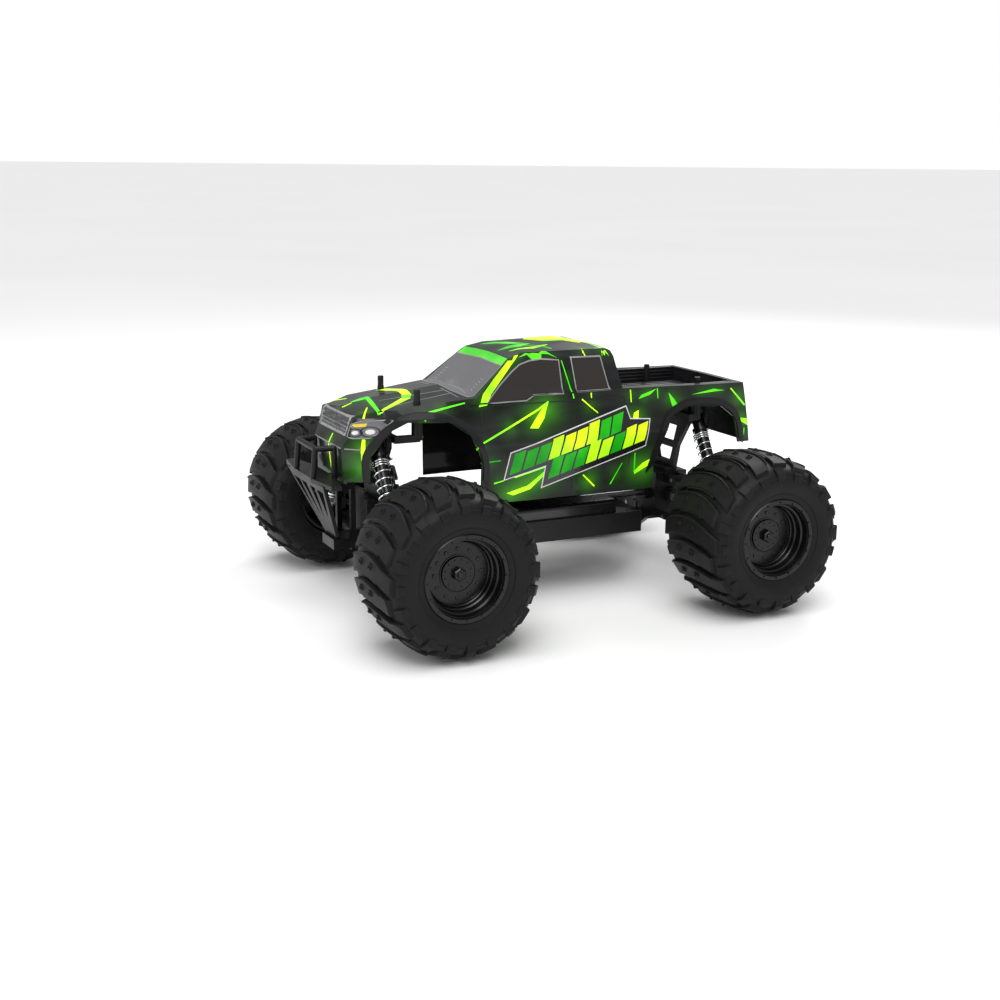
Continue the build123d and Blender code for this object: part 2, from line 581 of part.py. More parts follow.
def make_shock(corner):
    """Oil-filled shock in two moving halves, with its coil spring between their seats."""
    with BuildPart() as shock_body:
        bore = shock_eye(corner, 0, SHOCK_PIN_RADIUS + PIN_RUNNING)
        bar(shock_point(corner, 1), shock_point(corner, CYLINDER_TOP + 1), SHOCK_EYE_HALF)
        bar(shock_point(corner, CYLINDER_TOP), shock_point(corner, CYLINDER_END), SHOCK_CYLINDER)
        bar(shock_point(corner, COLLAR_AT), shock_point(corner, COLLAR_AT + COLLAR_THICKNESS),
            SPRING_MEAN_RADIUS + 0.5)
        bar(shock_point(corner, CYLINDER_TOP + 5), shock_point(corner, CYLINDER_END - 1.5), SHOCK_BORE,
            mode=Mode.SUBTRACT)
        bar(shock_point(corner, CYLINDER_END - 3), shock_point(corner, CYLINDER_END + 1),
            SHOCK_ROD + PIN_RUNNING, mode=Mode.SUBTRACT)
        bar(*bore, mode=Mode.SUBTRACT)
    save(shock_body, f"{corner.name}_shock_body")

    with BuildPart() as shock_shaft:
        bar(shock_point(corner, PISTON_AT), shock_point(corner, SEAT_AT + 1), SHOCK_ROD)
        bar(shock_point(corner, PISTON_AT), shock_point(corner, PISTON_AT + 2), SHOCK_BORE - 0.15)
        bar(shock_point(corner, SEAT_AT), shock_point(corner, SEAT_AT + SEAT_THICKNESS),
            SPRING_MEAN_RADIUS + 0.6)
        bar(shock_point(corner, SEAT_AT + SEAT_THICKNESS - 0.5), shock_point(corner, SHOCK_LENGTH - 2), 2.2)
        bore = shock_eye(corner, SHOCK_LENGTH, SHOCK_PIN_RADIUS + SHOCK_FOOT_GAP)
        bar(*bore, mode=Mode.SUBTRACT)
    save(shock_shaft, f"{corner.name}_shock_shaft")

    start = COLLAR_AT + COLLAR_THICKNESS + SPRING_WIRE / 2 + 0.1
    finish = SEAT_AT - SPRING_WIRE / 2 - 0.1
    seat = shock_point(corner, start)
    run = Vector(*shock_point(corner, finish)) - Vector(*seat)
    with BuildPart() as shock_spring:
        with BuildLine() as coil:
            Helix(run.length / SPRING_TURNS, run.length, SPRING_MEAN_RADIUS, center=seat, direction=run)
        with BuildSketch(Plane(origin=coil.line @ 0, z_dir=coil.line % 0)) as wire:
            Circle(SPRING_WIRE / 2)
        sweep(wire.sketch, path=coil.line)
    save(shock_spring, f"{corner.name}_shock_spring")


def make_dogbone(corner):
    """Drive shaft of one wheel: a ball and cross pin at each end, sliding in the drive cups."""
    inner = corner.at(0, ARM_INNER_Y, DIFF_Z)
    outer = corner.at(0, ARM_OUTER_Y, AXLE_Z)
    with BuildPart() as dogbone:
        bar(inner, outer, DOG_SHAFT)
        for centre in (inner, outer):
            ball(centre, DOG_BALL)
            x, y, z = centre
            bar((x - DOG_PIN_REACH, y, z), (x + DOG_PIN_REACH, y, z), DOG_PIN_RADIUS)
    save(dogbone, f"{corner.name}_dogbone")


# ---------------------------------------------------------------------------------------------
# Drive line
# ---------------------------------------------------------------------------------------------
def make_differential(end_name, end):
    """Differential: case with its ring gear, and the two outdrives with their cups."""
    gear_side = Corner(end_name, end, "gear", end)
    face = RING_GEAR_FACE
    back = face + RING_GEAR_THICKNESS
    case_end = GEARBOX_HALF_WIDTH - 4
    with BuildPart() as case:
        bar(gear_side.at(0, -case_end, DIFF_Z), gear_side.at(0, case_end, DIFF_Z), DIFF_CASE_RADIUS)
        bar(gear_side.at(0, back, DIFF_Z), gear_side.at(0, back + 1.5, DIFF_Z), DIFF_CASE_RADIUS + 2.5)
    with BuildPart() as ring_gear:
        bar(gear_side.at(0, face, DIFF_Z), gear_side.at(0, back, DIFF_Z), RING_GEAR_RADIUS)
        bar(gear_side.at(0, face - 1, DIFF_Z), gear_side.at(0, back + 1, DIFF_Z),
            DIFF_CASE_RADIUS + PIN_FIT,
            mode=Mode.SUBTRACT)
    pieces = [case, ring_gear]
    cup_floor = ARM_INNER_Y - DOG_BALL - PLUNGE - 0.4
    cup_back = cup_floor - 0.9
    cup_mouth = ARM_INNER_Y + 2.6
    for side_name, side in SIDES:
        corner = Corner(end_name, end, side_name, side)
        with BuildPart() as outdrive:
            bar(corner.at(0, case_end, DIFF_Z), corner.at(0, cup_back + 0.5, DIFF_Z), OUTDRIVE_RADIUS)
            bar(corner.at(0, cup_back, DIFF_Z), corner.at(0, cup_mouth, DIFF_Z), CUP_RADIUS)
            bar(corner.at(0, cup_floor, DIFF_Z), corner.at(0, cup_mouth, DIFF_Z), CUP_BORE,
                mode=Mode.SUBTRACT)
            block(corner.at(-CUP_RADIUS - 1, cup_floor + 0.9, DIFF_Z - CUP_SLOT / 2),
                  corner.at(CUP_RADIUS + 1, cup_mouth + 1, DIFF_Z + CUP_SLOT / 2), mode=Mode.SUBTRACT)
        pieces.append(outdrive)
    save_group(f"{end_name}_differential", *pieces)


def gear_outline(teeth, first_tooth_angle):
    """Points of a straight-flanked gear, narrow enough at the pitch line to run with play."""
    pitch_radius = GEAR_MODULE * teeth / 2
    root = pitch_radius - 1.3 * GEAR_MODULE
    tip = pitch_radius + 0.8 * GEAR_MODULE
    tooth = 2 * math.pi / teeth
    points = []
    for k in range(teeth):
        middle = first_tooth_angle + k * tooth
        for radius, share in ((root, -0.26), (tip, -0.10), (tip, 0.10), (root, 0.26)):
            angle = middle + share * tooth
            points.append((radius * math.cos(angle), radius * math.sin(angle)))
    return points


GEAR_CENTRES = GEAR_MODULE * (SPUR_TEETH + PINION_TEETH) / 2
PINION_CONE = RING_GEAR_FACE - BEVEL_GAP
PINION_TIP_X = AXLE_X - DIFF_CASE_RADIUS - 0.4
PINION_BACK_X = AXLE_X - RING_GEAR_RADIUS + 0.1


def make_centre_driveshaft():
    """Shaft down the middle with a bevel pinion at each end, and the spur gear fixed to it."""
    with BuildPart() as shaft:
        bar((-PINION_BACK_X - 0.5, 0, DIFF_Z), (PINION_BACK_X + 0.5, 0, DIFF_Z), AXLE_RADIUS)
        for end in (1, -1):
            with BuildSketch(Plane.XZ) as cone:
                with BuildLine():
                    Polyline((end * PINION_BACK_X, DIFF_Z), (end * PINION_BACK_X, DIFF_Z + PINION_CONE),
                             (end * PINION_TIP_X, DIFF_Z + PINION_CONE - 1), (end * PINION_TIP_X,
                                 DIFF_Z), close=True)
                make_face()
            revolve(cone.sketch, axis=Axis((0, 0, DIFF_Z), (1, 0, 0)))
    with BuildPart() as spur_gear:
        plane = Plane(origin=(GEAR_REAR_X, 0, DIFF_Z), x_dir=(0, -1, 0), z_dir=(1, 0, 0))
        prism(plane, gear_outline(SPUR_TEETH, math.pi / SPUR_TEETH), GEAR_WIDTH)
        bar((GEAR_REAR_X - 1, 0, DIFF_Z), (GEAR_REAR_X + GEAR_WIDTH + 1, 0, DIFF_Z), AXLE_RADIUS + PIN_FIT,
            mode=Mode.SUBTRACT)
    save_group("centre_driveshaft", shaft, spur_gear)


MOTOR_FACE_X = GEAR_REAR_X + GEAR_WIDTH + 6
MOTOR_SHAFT = 1.15


def make_motor_pinion():
    """Motor's shaft with its pinion."""
    with BuildPart() as motor_pinion:
        plane = Plane(origin=(GEAR_REAR_X, -GEAR_CENTRES, DIFF_Z), x_dir=(0, 1, 0), z_dir=(1, 0, 0))
        prism(plane, gear_outline(PINION_TEETH, 0), GEAR_WIDTH)
        bar((GEAR_REAR_X - 1, -GEAR_CENTRES, DIFF_Z), (MOTOR_FACE_X + 2, -GEAR_CENTRES, DIFF_Z),
            MOTOR_SHAFT)
    save(motor_pinion, "motor_pinion")


def make_drive_motor():
    """Brushed can motor with its front bearing boss and end bell."""
    with BuildPart() as drive_motor:
        can_end = MOTOR_FACE_X + MOTOR_LENGTH
        bar((MOTOR_FACE_X, -GEAR_CENTRES, DIFF_Z), (can_end, -GEAR_CENTRES, DIFF_Z), MOTOR_RADIUS)
        chamfer(drive_motor.faces().sort_by(Axis.X)[-1].edges(), 1.2)
        bar((MOTOR_FACE_X - 2.2, -GEAR_CENTRES, DIFF_Z), (MOTOR_FACE_X + 1, -GEAR_CENTRES, DIFF_Z), 3.0)
        bar((can_end - 1, -GEAR_CENTRES, DIFF_Z), (can_end + 2, -GEAR_CENTRES, DIFF_Z), 5.0)
        bar((MOTOR_FACE_X - 3, -GEAR_CENTRES, DIFF_Z), (MOTOR_FACE_X + 3, -GEAR_CENTRES, DIFF_Z),
            MOTOR_SHAFT + PIN_RUNNING, mode=Mode.SUBTRACT)
    save(drive_motor, "drive_motor")


# ---------------------------------------------------------------------------------------------
# Steering
# ---------------------------------------------------------------------------------------------
LINK_PIN_X = 57.0
HORN_X = LINK_PIN_X + STEERING_RADIUS
HORN_Y = 14.0
HORN_BOTTOM = 49.5
HORN_TOP = 52.5
LINK_BOTTOM = HORN_TOP + 0.75
LINK_TOP = LINK_BOTTOM + 2.5
TIE_ROD_X = AXLE_X - STEERING_RADIUS
TIE_INNER_Z = (LINK_BOTTOM + LINK_TOP) / 2
TIE_EYE_HALF = 2.0
TIE_EYE_RADIUS = 2.0
TIE_PIN = 1.0
LUG_THICKNESS = 1.3


def make_steering_servo():
    """Servo box with its mounting ears and output shaft."""
    length, width, height = SERVO_SIZE
    rear_x = HORN_X + 6 - length
    with BuildPart() as steering_servo:
        block((rear_x, HORN_Y - width / 2, FLOOR_Z), (rear_x + length, HORN_Y + width / 2,
            FLOOR_Z + height))
        chamfer(steering_servo.edges().filter_by(Axis.Z), 0.6)
        block((rear_x - 4, HORN_Y - width / 2, FLOOR_Z + 6), (rear_x + length + 4, HORN_Y + width / 2,
            FLOOR_Z + 8))
        bar((HORN_X, HORN_Y, FLOOR_Z + height - 1), (HORN_X, HORN_Y, FLOOR_Z + height + 1), 3.4)
        bar((HORN_X, HORN_Y, FLOOR_Z + height), (HORN_X, HORN_Y, HORN_TOP - 0.3), 1.8)
    save(steering_servo, "steering_servo")


def make_servo_horn():
    """Horn on the servo, pointing backwards to the pin of the steering link."""
    with BuildPart() as servo_horn:
        bar((HORN_X, HORN_Y, HORN_BOTTOM), (HORN_X, HORN_Y, HORN_TOP), 3.4)
        block((LINK_PIN_X, HORN_Y - 2.2, HORN_BOTTOM), (HORN_X, HORN_Y + 2.2, HORN_TOP))
        bar((LINK_PIN_X, HORN_Y, HORN_BOTTOM), (LINK_PIN_X, HORN_Y, HORN_TOP), 2.6)
        bar((LINK_PIN_X, HORN_Y, HORN_TOP - 1), (LINK_PIN_X, HORN_Y, LINK_TOP + 0.6), PIN_RADIUS)
        bar((HORN_X, HORN_Y, HORN_BOTTOM - 1), (HORN_X, HORN_Y, HORN_TOP + 1), 1.8 + PIN_RUNNING,
            mode=Mode.SUBTRACT)
    save(servo_horn, "servo_horn")


def make_steering_link():
    """Sliding link: stem from the horn's pin, crossbar, and a forked lug for each tie rod."""
    bar_front = TIE_ROD_X - 5
    lug_out = TIE_EYE_HALF + 0.3 + LUG_THICKNESS
    with BuildPart() as steering_link:
        bar((LINK_PIN_X, HORN_Y, LINK_BOTTOM), (LINK_PIN_X, HORN_Y, LINK_TOP), 3.0)
        block((LINK_PIN_X, HORN_Y - 3, LINK_BOTTOM), (bar_front, HORN_Y + 3, LINK_TOP))
        block((bar_front - 4, -19.4, LINK_BOTTOM), (bar_front, 19.4, LINK_TOP))
        for _, side in SIDES:
            block((bar_front - 1, side * 17.2, LINK_BOTTOM), (TIE_ROD_X + lug_out, side * 19.4, LINK_TOP))
            for sign in (-1, 1):
                near = TIE_ROD_X + sign * (TIE_EYE_HALF + 0.3)
                far = TIE_ROD_X + sign * lug_out
                block((near, side * 19, LINK_BOTTOM), (far, side * (ARM_INNER_Y + 2), LINK_TOP))
            bar((TIE_ROD_X - lug_out, side * ARM_INNER_Y, TIE_INNER_Z),
                (TIE_ROD_X + lug_out, side * ARM_INNER_Y, TIE_INNER_Z), TIE_PIN)
        bar((LINK_PIN_X, HORN_Y, LINK_BOTTOM - 1), (LINK_PIN_X, HORN_Y, LINK_TOP + 1),
            PIN_RADIUS + PIN_RUNNING, mode=Mode.SUBTRACT)
    save(steering_link, "steering_link")


def make_tie_rod(side_name, side):
    """Tie rod: hinged at the link, with a ball eye at the knuckle."""
    outer_z = TIE_INNER_Z - ARM_DROP
    slope = ARM_DROP / ARM_SPAN
    eye_out = BALL_RADIUS + BALL_GAP + 1.2
    with BuildPart() as tie_rod:
        bar((TIE_ROD_X - TIE_EYE_HALF, side * ARM_INNER_Y, TIE_INNER_Z),
            (TIE_ROD_X + TIE_EYE_HALF, side * ARM_INNER_Y, TIE_INNER_Z), TIE_EYE_RADIUS)
        bar((TIE_ROD_X, side * (ARM_INNER_Y + 1.4), TIE_INNER_Z - 1.4 * slope),
            (TIE_ROD_X, side * (ARM_OUTER_Y - 2.8), outer_z + 2.8 * slope), 1.2)
        bar((TIE_ROD_X, side * ARM_OUTER_Y, outer_z - 1.5), (TIE_ROD_X, side * ARM_OUTER_Y, outer_z + 1.5),
            eye_out)
        bar((TIE_ROD_X - TIE_EYE_HALF - 1, side * ARM_INNER_Y, TIE_INNER_Z),
            (TIE_ROD_X + TIE_EYE_HALF + 1, side * ARM_INNER_Y,
                TIE_INNER_Z), TIE_PIN + PIN_RUNNING, mode=Mode.SUBTRACT)
        bar((TIE_ROD_X, side * ARM_OUTER_Y, outer_z - 3), (TIE_ROD_X, side * ARM_OUTER_Y, outer_z + 3),
            BALL_RADIUS + BALL_GAP, mode=Mode.SUBTRACT)
    save(tie_rod, f"{side_name}_tie_rod")


# ---------------------------------------------------------------------------------------------
# Frame
# ---------------------------------------------------------------------------------------------
def make_gearbox(end_name, end):
    """Gearbox: hollow housing, bearing bosses, and ears for the hinge pins of both arms."""
    housing = Corner(end_name, end, "middle", 1)
    half = GEARBOX_HALF_LENGTH
    low_in = LOWER_ARM_HALF_LENGTH + SIDE_GAP
    low_out = low_in + EAR_THICKNESS
    up_in = UPPER_ARM_HALF_LENGTH + SIDE_GAP
    up_out = up_in + EAR_THICKNESS
    ear_y = ARM_INNER_Y + BOSS_RADIUS + 0.3
    with BuildPart() as gearbox:
        block(housing.at(-half, -GEARBOX_HALF_WIDTH, FLOOR_Z), housing.at(half, GEARBOX_HALF_WIDTH,
            GEARBOX_TOP))
        bar(housing.at(0, -BEARING_BOSS_END, DIFF_Z), housing.at(0, BEARING_BOSS_END, DIFF_Z),
            BEARING_BOSS_RADIUS)
        bar(housing.at(-half - 2.5, 0, DIFF_Z), housing.at(-half + 1, 0, DIFF_Z), 4.5)
        for _, side in SIDES:
            ears = Corner(end_name, end, "ear", side)
            for sign in (-1, 1):
                block(ears.at(sign * low_in, 10, LOWER_PIVOT_Z - 2.8 + 1.3), ears.at(sign * low_out, ear_y,
                    LOWER_PIVOT_Z + 2.8))
                block(ears.at(sign * up_in, 10, UPPER_PIVOT_Z - 2.8), ears.at(sign * up_out, ear_y,
                    UPPER_PIVOT_Z + 2.8))
        bar(housing.at(0, -GEARBOX_HALF_WIDTH + 3, DIFF_Z), housing.at(0, GEARBOX_HALF_WIDTH - 3, DIFF_Z),
            RING_GEAR_RADIUS + 0.5, mode=Mode.SUBTRACT)
        bar(housing.at(-half + GEARBOX_WALL, 0, DIFF_Z), housing.at(-3, 0, DIFF_Z), PINION_CONE + 0.5,
            mode=Mode.SUBTRACT)
        bar(housing.at(-half - 4, 0, DIFF_Z), housing.at(-half + 3, 0, DIFF_Z), AXLE_RADIUS + AXLE_RUNNING,
            mode=Mode.SUBTRACT)
        bar(housing.at(0, -BEARING_BOSS_END - 1, DIFF_Z), housing.at(0, BEARING_BOSS_END + 1, DIFF_Z),
            OUTDRIVE_RADIUS + PIN_RUNNING, mode=Mode.SUBTRACT)
        for _, side in SIDES:
            holes = Corner(end_name, end, "hole", side)
            for z, reach in ((LOWER_PIVOT_Z, low_out + 1), (UPPER_PIVOT_Z, up_out + 1)):
                bar(holes.at(-reach, ARM_INNER_Y, z), holes.at(reach, ARM_INNER_Y, z), PIN_RADIUS + PIN_FIT,
                    mode=Mode.SUBTRACT)
    save(gearbox, f"{end_name}_gearbox")


def make_hinge_pins():
    """The eight inner hinge pins, pressed into the gearbox ears."""
    low_reach = LOWER_ARM_HALF_LENGTH + SIDE_GAP + EAR_THICKNESS + 0.5
    up_reach = UPPER_ARM_HALF_LENGTH + SIDE_GAP + EAR_THICKNESS + 0.5
    pins = []
    for corner in CORNERS:
        for z, reach in ((LOWER_PIVOT_Z, low_reach), (UPPER_PIVOT_Z, up_reach)):
            with BuildPart() as pin:
                bar(corner.at(-reach, ARM_INNER_Y, z), corner.at(reach, ARM_INNER_Y, z), PIN_RADIUS)
            pins.append(pin)
    save_group("hinge_pins", *pins)


def make_chassis():
    """Chassis tub: floor, side walls, motor plate, tray ribs and servo posts."""
    wide_x = 52.0
    wide_back = -62.0
    end_x = AXLE_X + CHASSIS_NARROW
    wall_top = FLOOR_Z + CHASSIS_WALL_HEIGHT
    wide = CHASSIS_HALF_WIDTH
    narrow = CHASSIS_NARROW - 1.5
    outline = mirrored([(-end_x, narrow), (-AXLE_X + 16, narrow), (wide_back - 6, wide - 12), (wide_back,
        wide),
                        (wide_x, wide), (wide_x + 10, wide - 12), (AXLE_X - 16, narrow), (end_x, narrow)])
    motor_y = -GEAR_CENTRES
    with BuildPart() as chassis_tub:
        prism(Plane.XY.offset(CHASSIS_BOTTOM), outline, CHASSIS_FLOOR)
        for _, side in SIDES:
            block((wide_back, side * (wide - CHASSIS_WALL), CHASSIS_BOTTOM), (wide_x, side * wide,
                wall_top))
            for end, x in ((-1, wide_back), (1, wide_x)):
                block((x, side * 20.5, FLOOR_Z - 1), (x - end * CHASSIS_WALL, side * wide, wall_top - 3))
        block((MOTOR_FACE_X - 3, motor_y - MOTOR_RADIUS, FLOOR_Z - 1), (MOTOR_FACE_X - 0.05,
            -AXLE_RADIUS - 1.2, DIFF_Z + 9))
        bar((MOTOR_FACE_X - 4, motor_y, DIFF_Z), (MOTOR_FACE_X + 1, motor_y, DIFF_Z), 3.1,
            mode=Mode.SUBTRACT)
        for x in (BATTERY_REAR_X - 1.8, BATTERY_REAR_X + BATTERY_SIZE[0] + 0.3):
            block((x, BATTERY_INNER_Y, FLOOR_Z - 1), (x + 1.5, BATTERY_INNER_Y + BATTERY_SIZE[1],
                FLOOR_Z + 6))
        for x in (HORN_X + 6 - SERVO_SIZE[0] - 3.8, HORN_X + 6.3):
            block((x, HORN_Y - 4, FLOOR_Z - 1), (x + 3.5, HORN_Y + 4, FLOOR_Z + 5.95))
        for x in (-40, -20, 0, 20):
            for _, side in SIDES:
                with Locations((x, side * 20, CHASSIS_BOTTOM)):
                    Box(10, 4, 1, align=(Align.CENTER, Align.CENTER, Align.MIN), mode=Mode.SUBTRACT)
    save(chassis_tub, "chassis_tub")


def make_shock_tower(end_name, end):
    """Shock tower: foot on the gearbox, plate with openings, and a pin for each shock."""
    tower = Corner(end_name, end, "middle", 1)
    near = TOWER_OFFSET
    far = near + TOWER_THICKNESS
    top_y, top_z = SHOCK_TOP
    plane = Plane(origin=tower.at(near, 0, 0), x_dir=(0, 1, 0), z_dir=(1, 0, 0))
    depth = end * TOWER_THICKNESS
    with BuildPart() as shock_tower:
        prism(plane, tower_outline(), depth)
        prism(plane, [(-7, 71), (7, 71), (10, 80), (-10, 80)], depth, mode=Mode.SUBTRACT)
        prism(plane, [(-10.5, 84), (10.5, 84), (14, 95), (-14, 95)], depth, mode=Mode.SUBTRACT)
        block(tower.at(near - 5, -10.8, GEARBOX_TOP), tower.at(near + 0.5, 10.8, GEARBOX_TOP + 2.5))
        for _, side in SIDES:
            x, y, z = tower.at(near, side * top_y, top_z)
            bar((x - end, y, z), (x + end * (TOWER_THICKNESS + 1), y, z), SHOCK_PIN_RADIUS + PIN_FIT,
                mode=Mode.SUBTRACT)
    pins = []
    for _, side in SIDES:
        with BuildPart() as pin:
            bar(tower.at(near, side * top_y, top_z), tower.at(SHOCK_OFFSET + 3.3, side * top_y, top_z),
                SHOCK_PIN_RADIUS)
            bar(tower.at(far, side * top_y, top_z), tower.at(SHOCK_OFFSET - SHOCK_EYE_HALF - 0.3,
                side * top_y, top_z), 2.6)
            bar(tower.at(SHOCK_OFFSET + 2.2, side * top_y, top_z), tower.at(SHOCK_OFFSET + 3.8,
                side * top_y, top_z), 2.8)
        pins.append(pin)
    save_group(f"{end_name}_shock_tower", shock_tower, *pins)


def tower_outline():
    """Outline of a shock tower's plate, seen along the truck."""
    top_y, top_z = SHOCK_TOP
    half = [(10.8, GEARBOX_TOP), (15, 82), (top_y + 5, top_z - 8), (top_y + 5, top_z + 2.5), (top_y - 3,
        top_z + 4),
            (14, top_z - 4)]
    return half + [(-y, z) for y, z in reversed(half)]


def make_front_bumper():
    """Front bumper: mounting block, uprights, wing plate, sloping face plate and hoop."""
    front_x = AXLE_X + GEARBOX_HALF_LENGTH
    plate_z = 79.5
    plate_top = plate_z + 2.5
    hoop_y = 15.0
    hoop_z = 98.6
    hoop_x = 141.4
    wing = mirrored([(130.5, 12), (131.5, 22), (135.5, 42), (141, 40.5), (144.5, 15)])
    tie_top = 77.0
    face = Plane(origin=(127, 0, 42), x_dir=(0, 1, 0), z_dir=(38, 0, -16))
    reach = math.hypot(16, 38)
    with BuildPart() as front_bumper:
        block((front_x, -10, FLOOR_Z), (129.5, 10, 43))
        for _, side in SIDES:
            block((117, side * 10.5, FLOOR_Z), (120, side * 13.5, tie_top))
            block((117, side * 10.5, tie_top - 4), (140.5, side * 13.5, tie_top))
            block((117, side * 9, FLOOR_Z), (120, side * 12, 43))
        prism(Plane.XY.offset(plate_z), wing, plate_top - plate_z)
        prism(face, [(-8, -1), (8, -1), (32, reach), (-32, reach)], -2.2)
        for sign in (-1, 1):
            prism(face, [(sign * 3, 14), (sign * 3, reach - 5), (sign * 12, reach - 5)], -10,
                mode=Mode.SUBTRACT)
            prism(face, [(sign * 12.5, 16), (sign * 15.5, reach - 5), (sign * 26, reach - 5)], -10,
                mode=Mode.SUBTRACT)
        for _, side in SIDES:
            bar((143, side * hoop_y, plate_top - 1), (hoop_x, side * hoop_y, hoop_z), 1.7)
            ball((hoop_x, side * hoop_y, hoop_z), 1.7)
            bar((hoop_x, side * hoop_y, hoop_z), (131, side * (hoop_y + 2), hoop_z), 1.7)
            bar((131, side * (hoop_y + 2), hoop_z), (131, side * (hoop_y + 2), plate_top - 1), 1.7)
            ball((131, side * (hoop_y + 2), hoop_z), 1.7)
        bar((hoop_x, -hoop_y, hoop_z), (hoop_x, hoop_y, hoop_z), 1.7)
    save(front_bumper, "front_bumper")


def make_body_mounts():
    """Body mounts: one bracket behind each tower, with a drilled post on each side."""
    near = AXLE_X + TOWER_OFFSET
    bracket_bottom, bracket_top = 101, 105
    rear_shoulder = BED_FLOOR - SHELL_WALL - 0.5
    pieces = []
    for end, post, tip_z, shoulder in ((1, FRONT_POST, FRONT_TIP_Z, 120.0), (-1, REAR_POST, REAR_TIP_Z, rear_shoulder)):
        post_x, post_y, post_top = post
        with BuildPart() as bracket:
            block((end * near, -post_y - 2, bracket_bottom), (end * (near - 3), post_y + 2, bracket_top))
            for _, side in SIDES:
                y = side * post_y
                block((end * (near - 3), y - 2, bracket_bottom), (post_x, y + 2, bracket_top))
                bar((post_x, y, bracket_bottom), (post_x, y, tip_z), POST_RADIUS)
                bar((post_x, y, tip_z - 1), (post_x, y, post_top), POST_TIP_RADIUS)
                bar((post_x, y, bracket_bottom + 1), (post_x, y, shoulder), POST_RADIUS + POST_SHOULDER)
                bar((post_x - 5, y, post_top - 2), (post_x + 5, y, post_top - 2), 0.6, mode=Mode.SUBTRACT)
        pieces.append(bracket)
    save_group("body_mounts", *pieces)


# ---------------------------------------------------------------------------------------------
# Electrics
# ---------------------------------------------------------------------------------------------
BATTERY_REAR_X = -45.0
BATTERY_INNER_Y = 14.0
RECEIVER_REAR_X = 19.5
RECEIVER_INNER_Y = -8.0
SWITCH_X = RECEIVER_REAR_X + 12
SWITCH_Y = RECEIVER_INNER_Y - 14


def make_battery():
    """Battery pack: two cells side by side in one wrapped block."""
    length, width, height = BATTERY_SIZE
    with BuildPart() as battery_pack:
        block((BATTERY_REAR_X, BATTERY_INNER_Y, FLOOR_Z), (BATTERY_REAR_X + length, BATTERY_INNER_Y + width,
            FLOOR_Z + height))
        fillet(battery_pack.edges().filter_by(Axis.X), 3)
    save(battery_pack, "battery_pack")


def make_receiver():
    """Receiver and speed controller in one box, with cooling fins and a recess for its switch."""
    length, width, height = RECEIVER_SIZE
    knob_x, knob_y, _ = SWITCH_KNOB
    top = FLOOR_Z + height
    with BuildPart() as receiver_unit:
        block((RECEIVER_REAR_X, RECEIVER_INNER_Y, FLOOR_Z), (RECEIVER_REAR_X + length,
            RECEIVER_INNER_Y - width, top))
        for k in range(5):
            x = RECEIVER_REAR_X + length - 3 - 3 * k
            block((x, RECEIVER_INNER_Y - 2, top), (x - 1.2, RECEIVER_INNER_Y - width + 2, top + FIN_HEIGHT))
        block((SWITCH_X - knob_x / 2 - SWITCH_TRAVEL / 2 - 0.3, SWITCH_Y - knob_y / 2 - 0.3, top - 2.5),
              (SWITCH_X + knob_x / 2 + SWITCH_TRAVEL / 2 + 0.3, SWITCH_Y + knob_y / 2 + 0.3,
                  top + FIN_HEIGHT + 1), mode=Mode.SUBTRACT)
    save(receiver_unit, "receiver_unit")


def make_power_switch():
    """Sliding knob of the power switch, at the off end of its recess."""
    knob_x, knob_y, knob_z = SWITCH_KNOB
    bottom = FLOOR_Z + RECEIVER_SIZE[2] - 2.3
    centre = SWITCH_X - SWITCH_TRAVEL / 2
    with BuildPart() as power_switch:
        block((centre - knob_x / 2, SWITCH_Y - knob_y / 2, bottom),
            (centre + knob_x / 2, SWITCH_Y + knob_y / 2, bottom + knob_z))
        chamfer(power_switch.faces().sort_by(Axis.Z)[-1].edges(), 0.4)
    save(power_switch, "power_switch")


# ---------------------------------------------------------------------------------------------
# Body shell
# ---------------------------------------------------------------------------------------------
# Sections of the lower body: x, half widths at the sill, the crease, the belt and the deck's edge,
# then the heights of the deck's edge and its middle
BODY_SECTIONS = (
    (130.0, 20.5, 22.0, 20.5, 16.0, 105.0, 109.0),
    (122.0, 27.0, 29.0, 27.0, 22.5, 117.0, 119.5),
    (106.0, 36.0, 38.5, 37.0, 30.0, 120.5, 123.0),
    (80.0, 40.0, 42.0, 40.5, 34.0, 123.0, 126.0),
    (55.0, 43.0, 44.5, 41.5, 38.0, 125.5, 129.0),
    (20.0, 44.5, 46.0, 41.5, 40.5, 125.5, 129.0),
    (-43.0, 44.5, 46.0, 41.5, 40.5, 126.0, 127.0),
    (-102.0, 42.5, 43.5, 41.5, 40.8, 125.0, 125.5),
    (-138.0, 40.5, 41.5, 41.0, 40.2, 124.7, 125.0),
)
SILL_Z = 60.0
CREASE_Z = 99.0
BELT_Z = 116.0
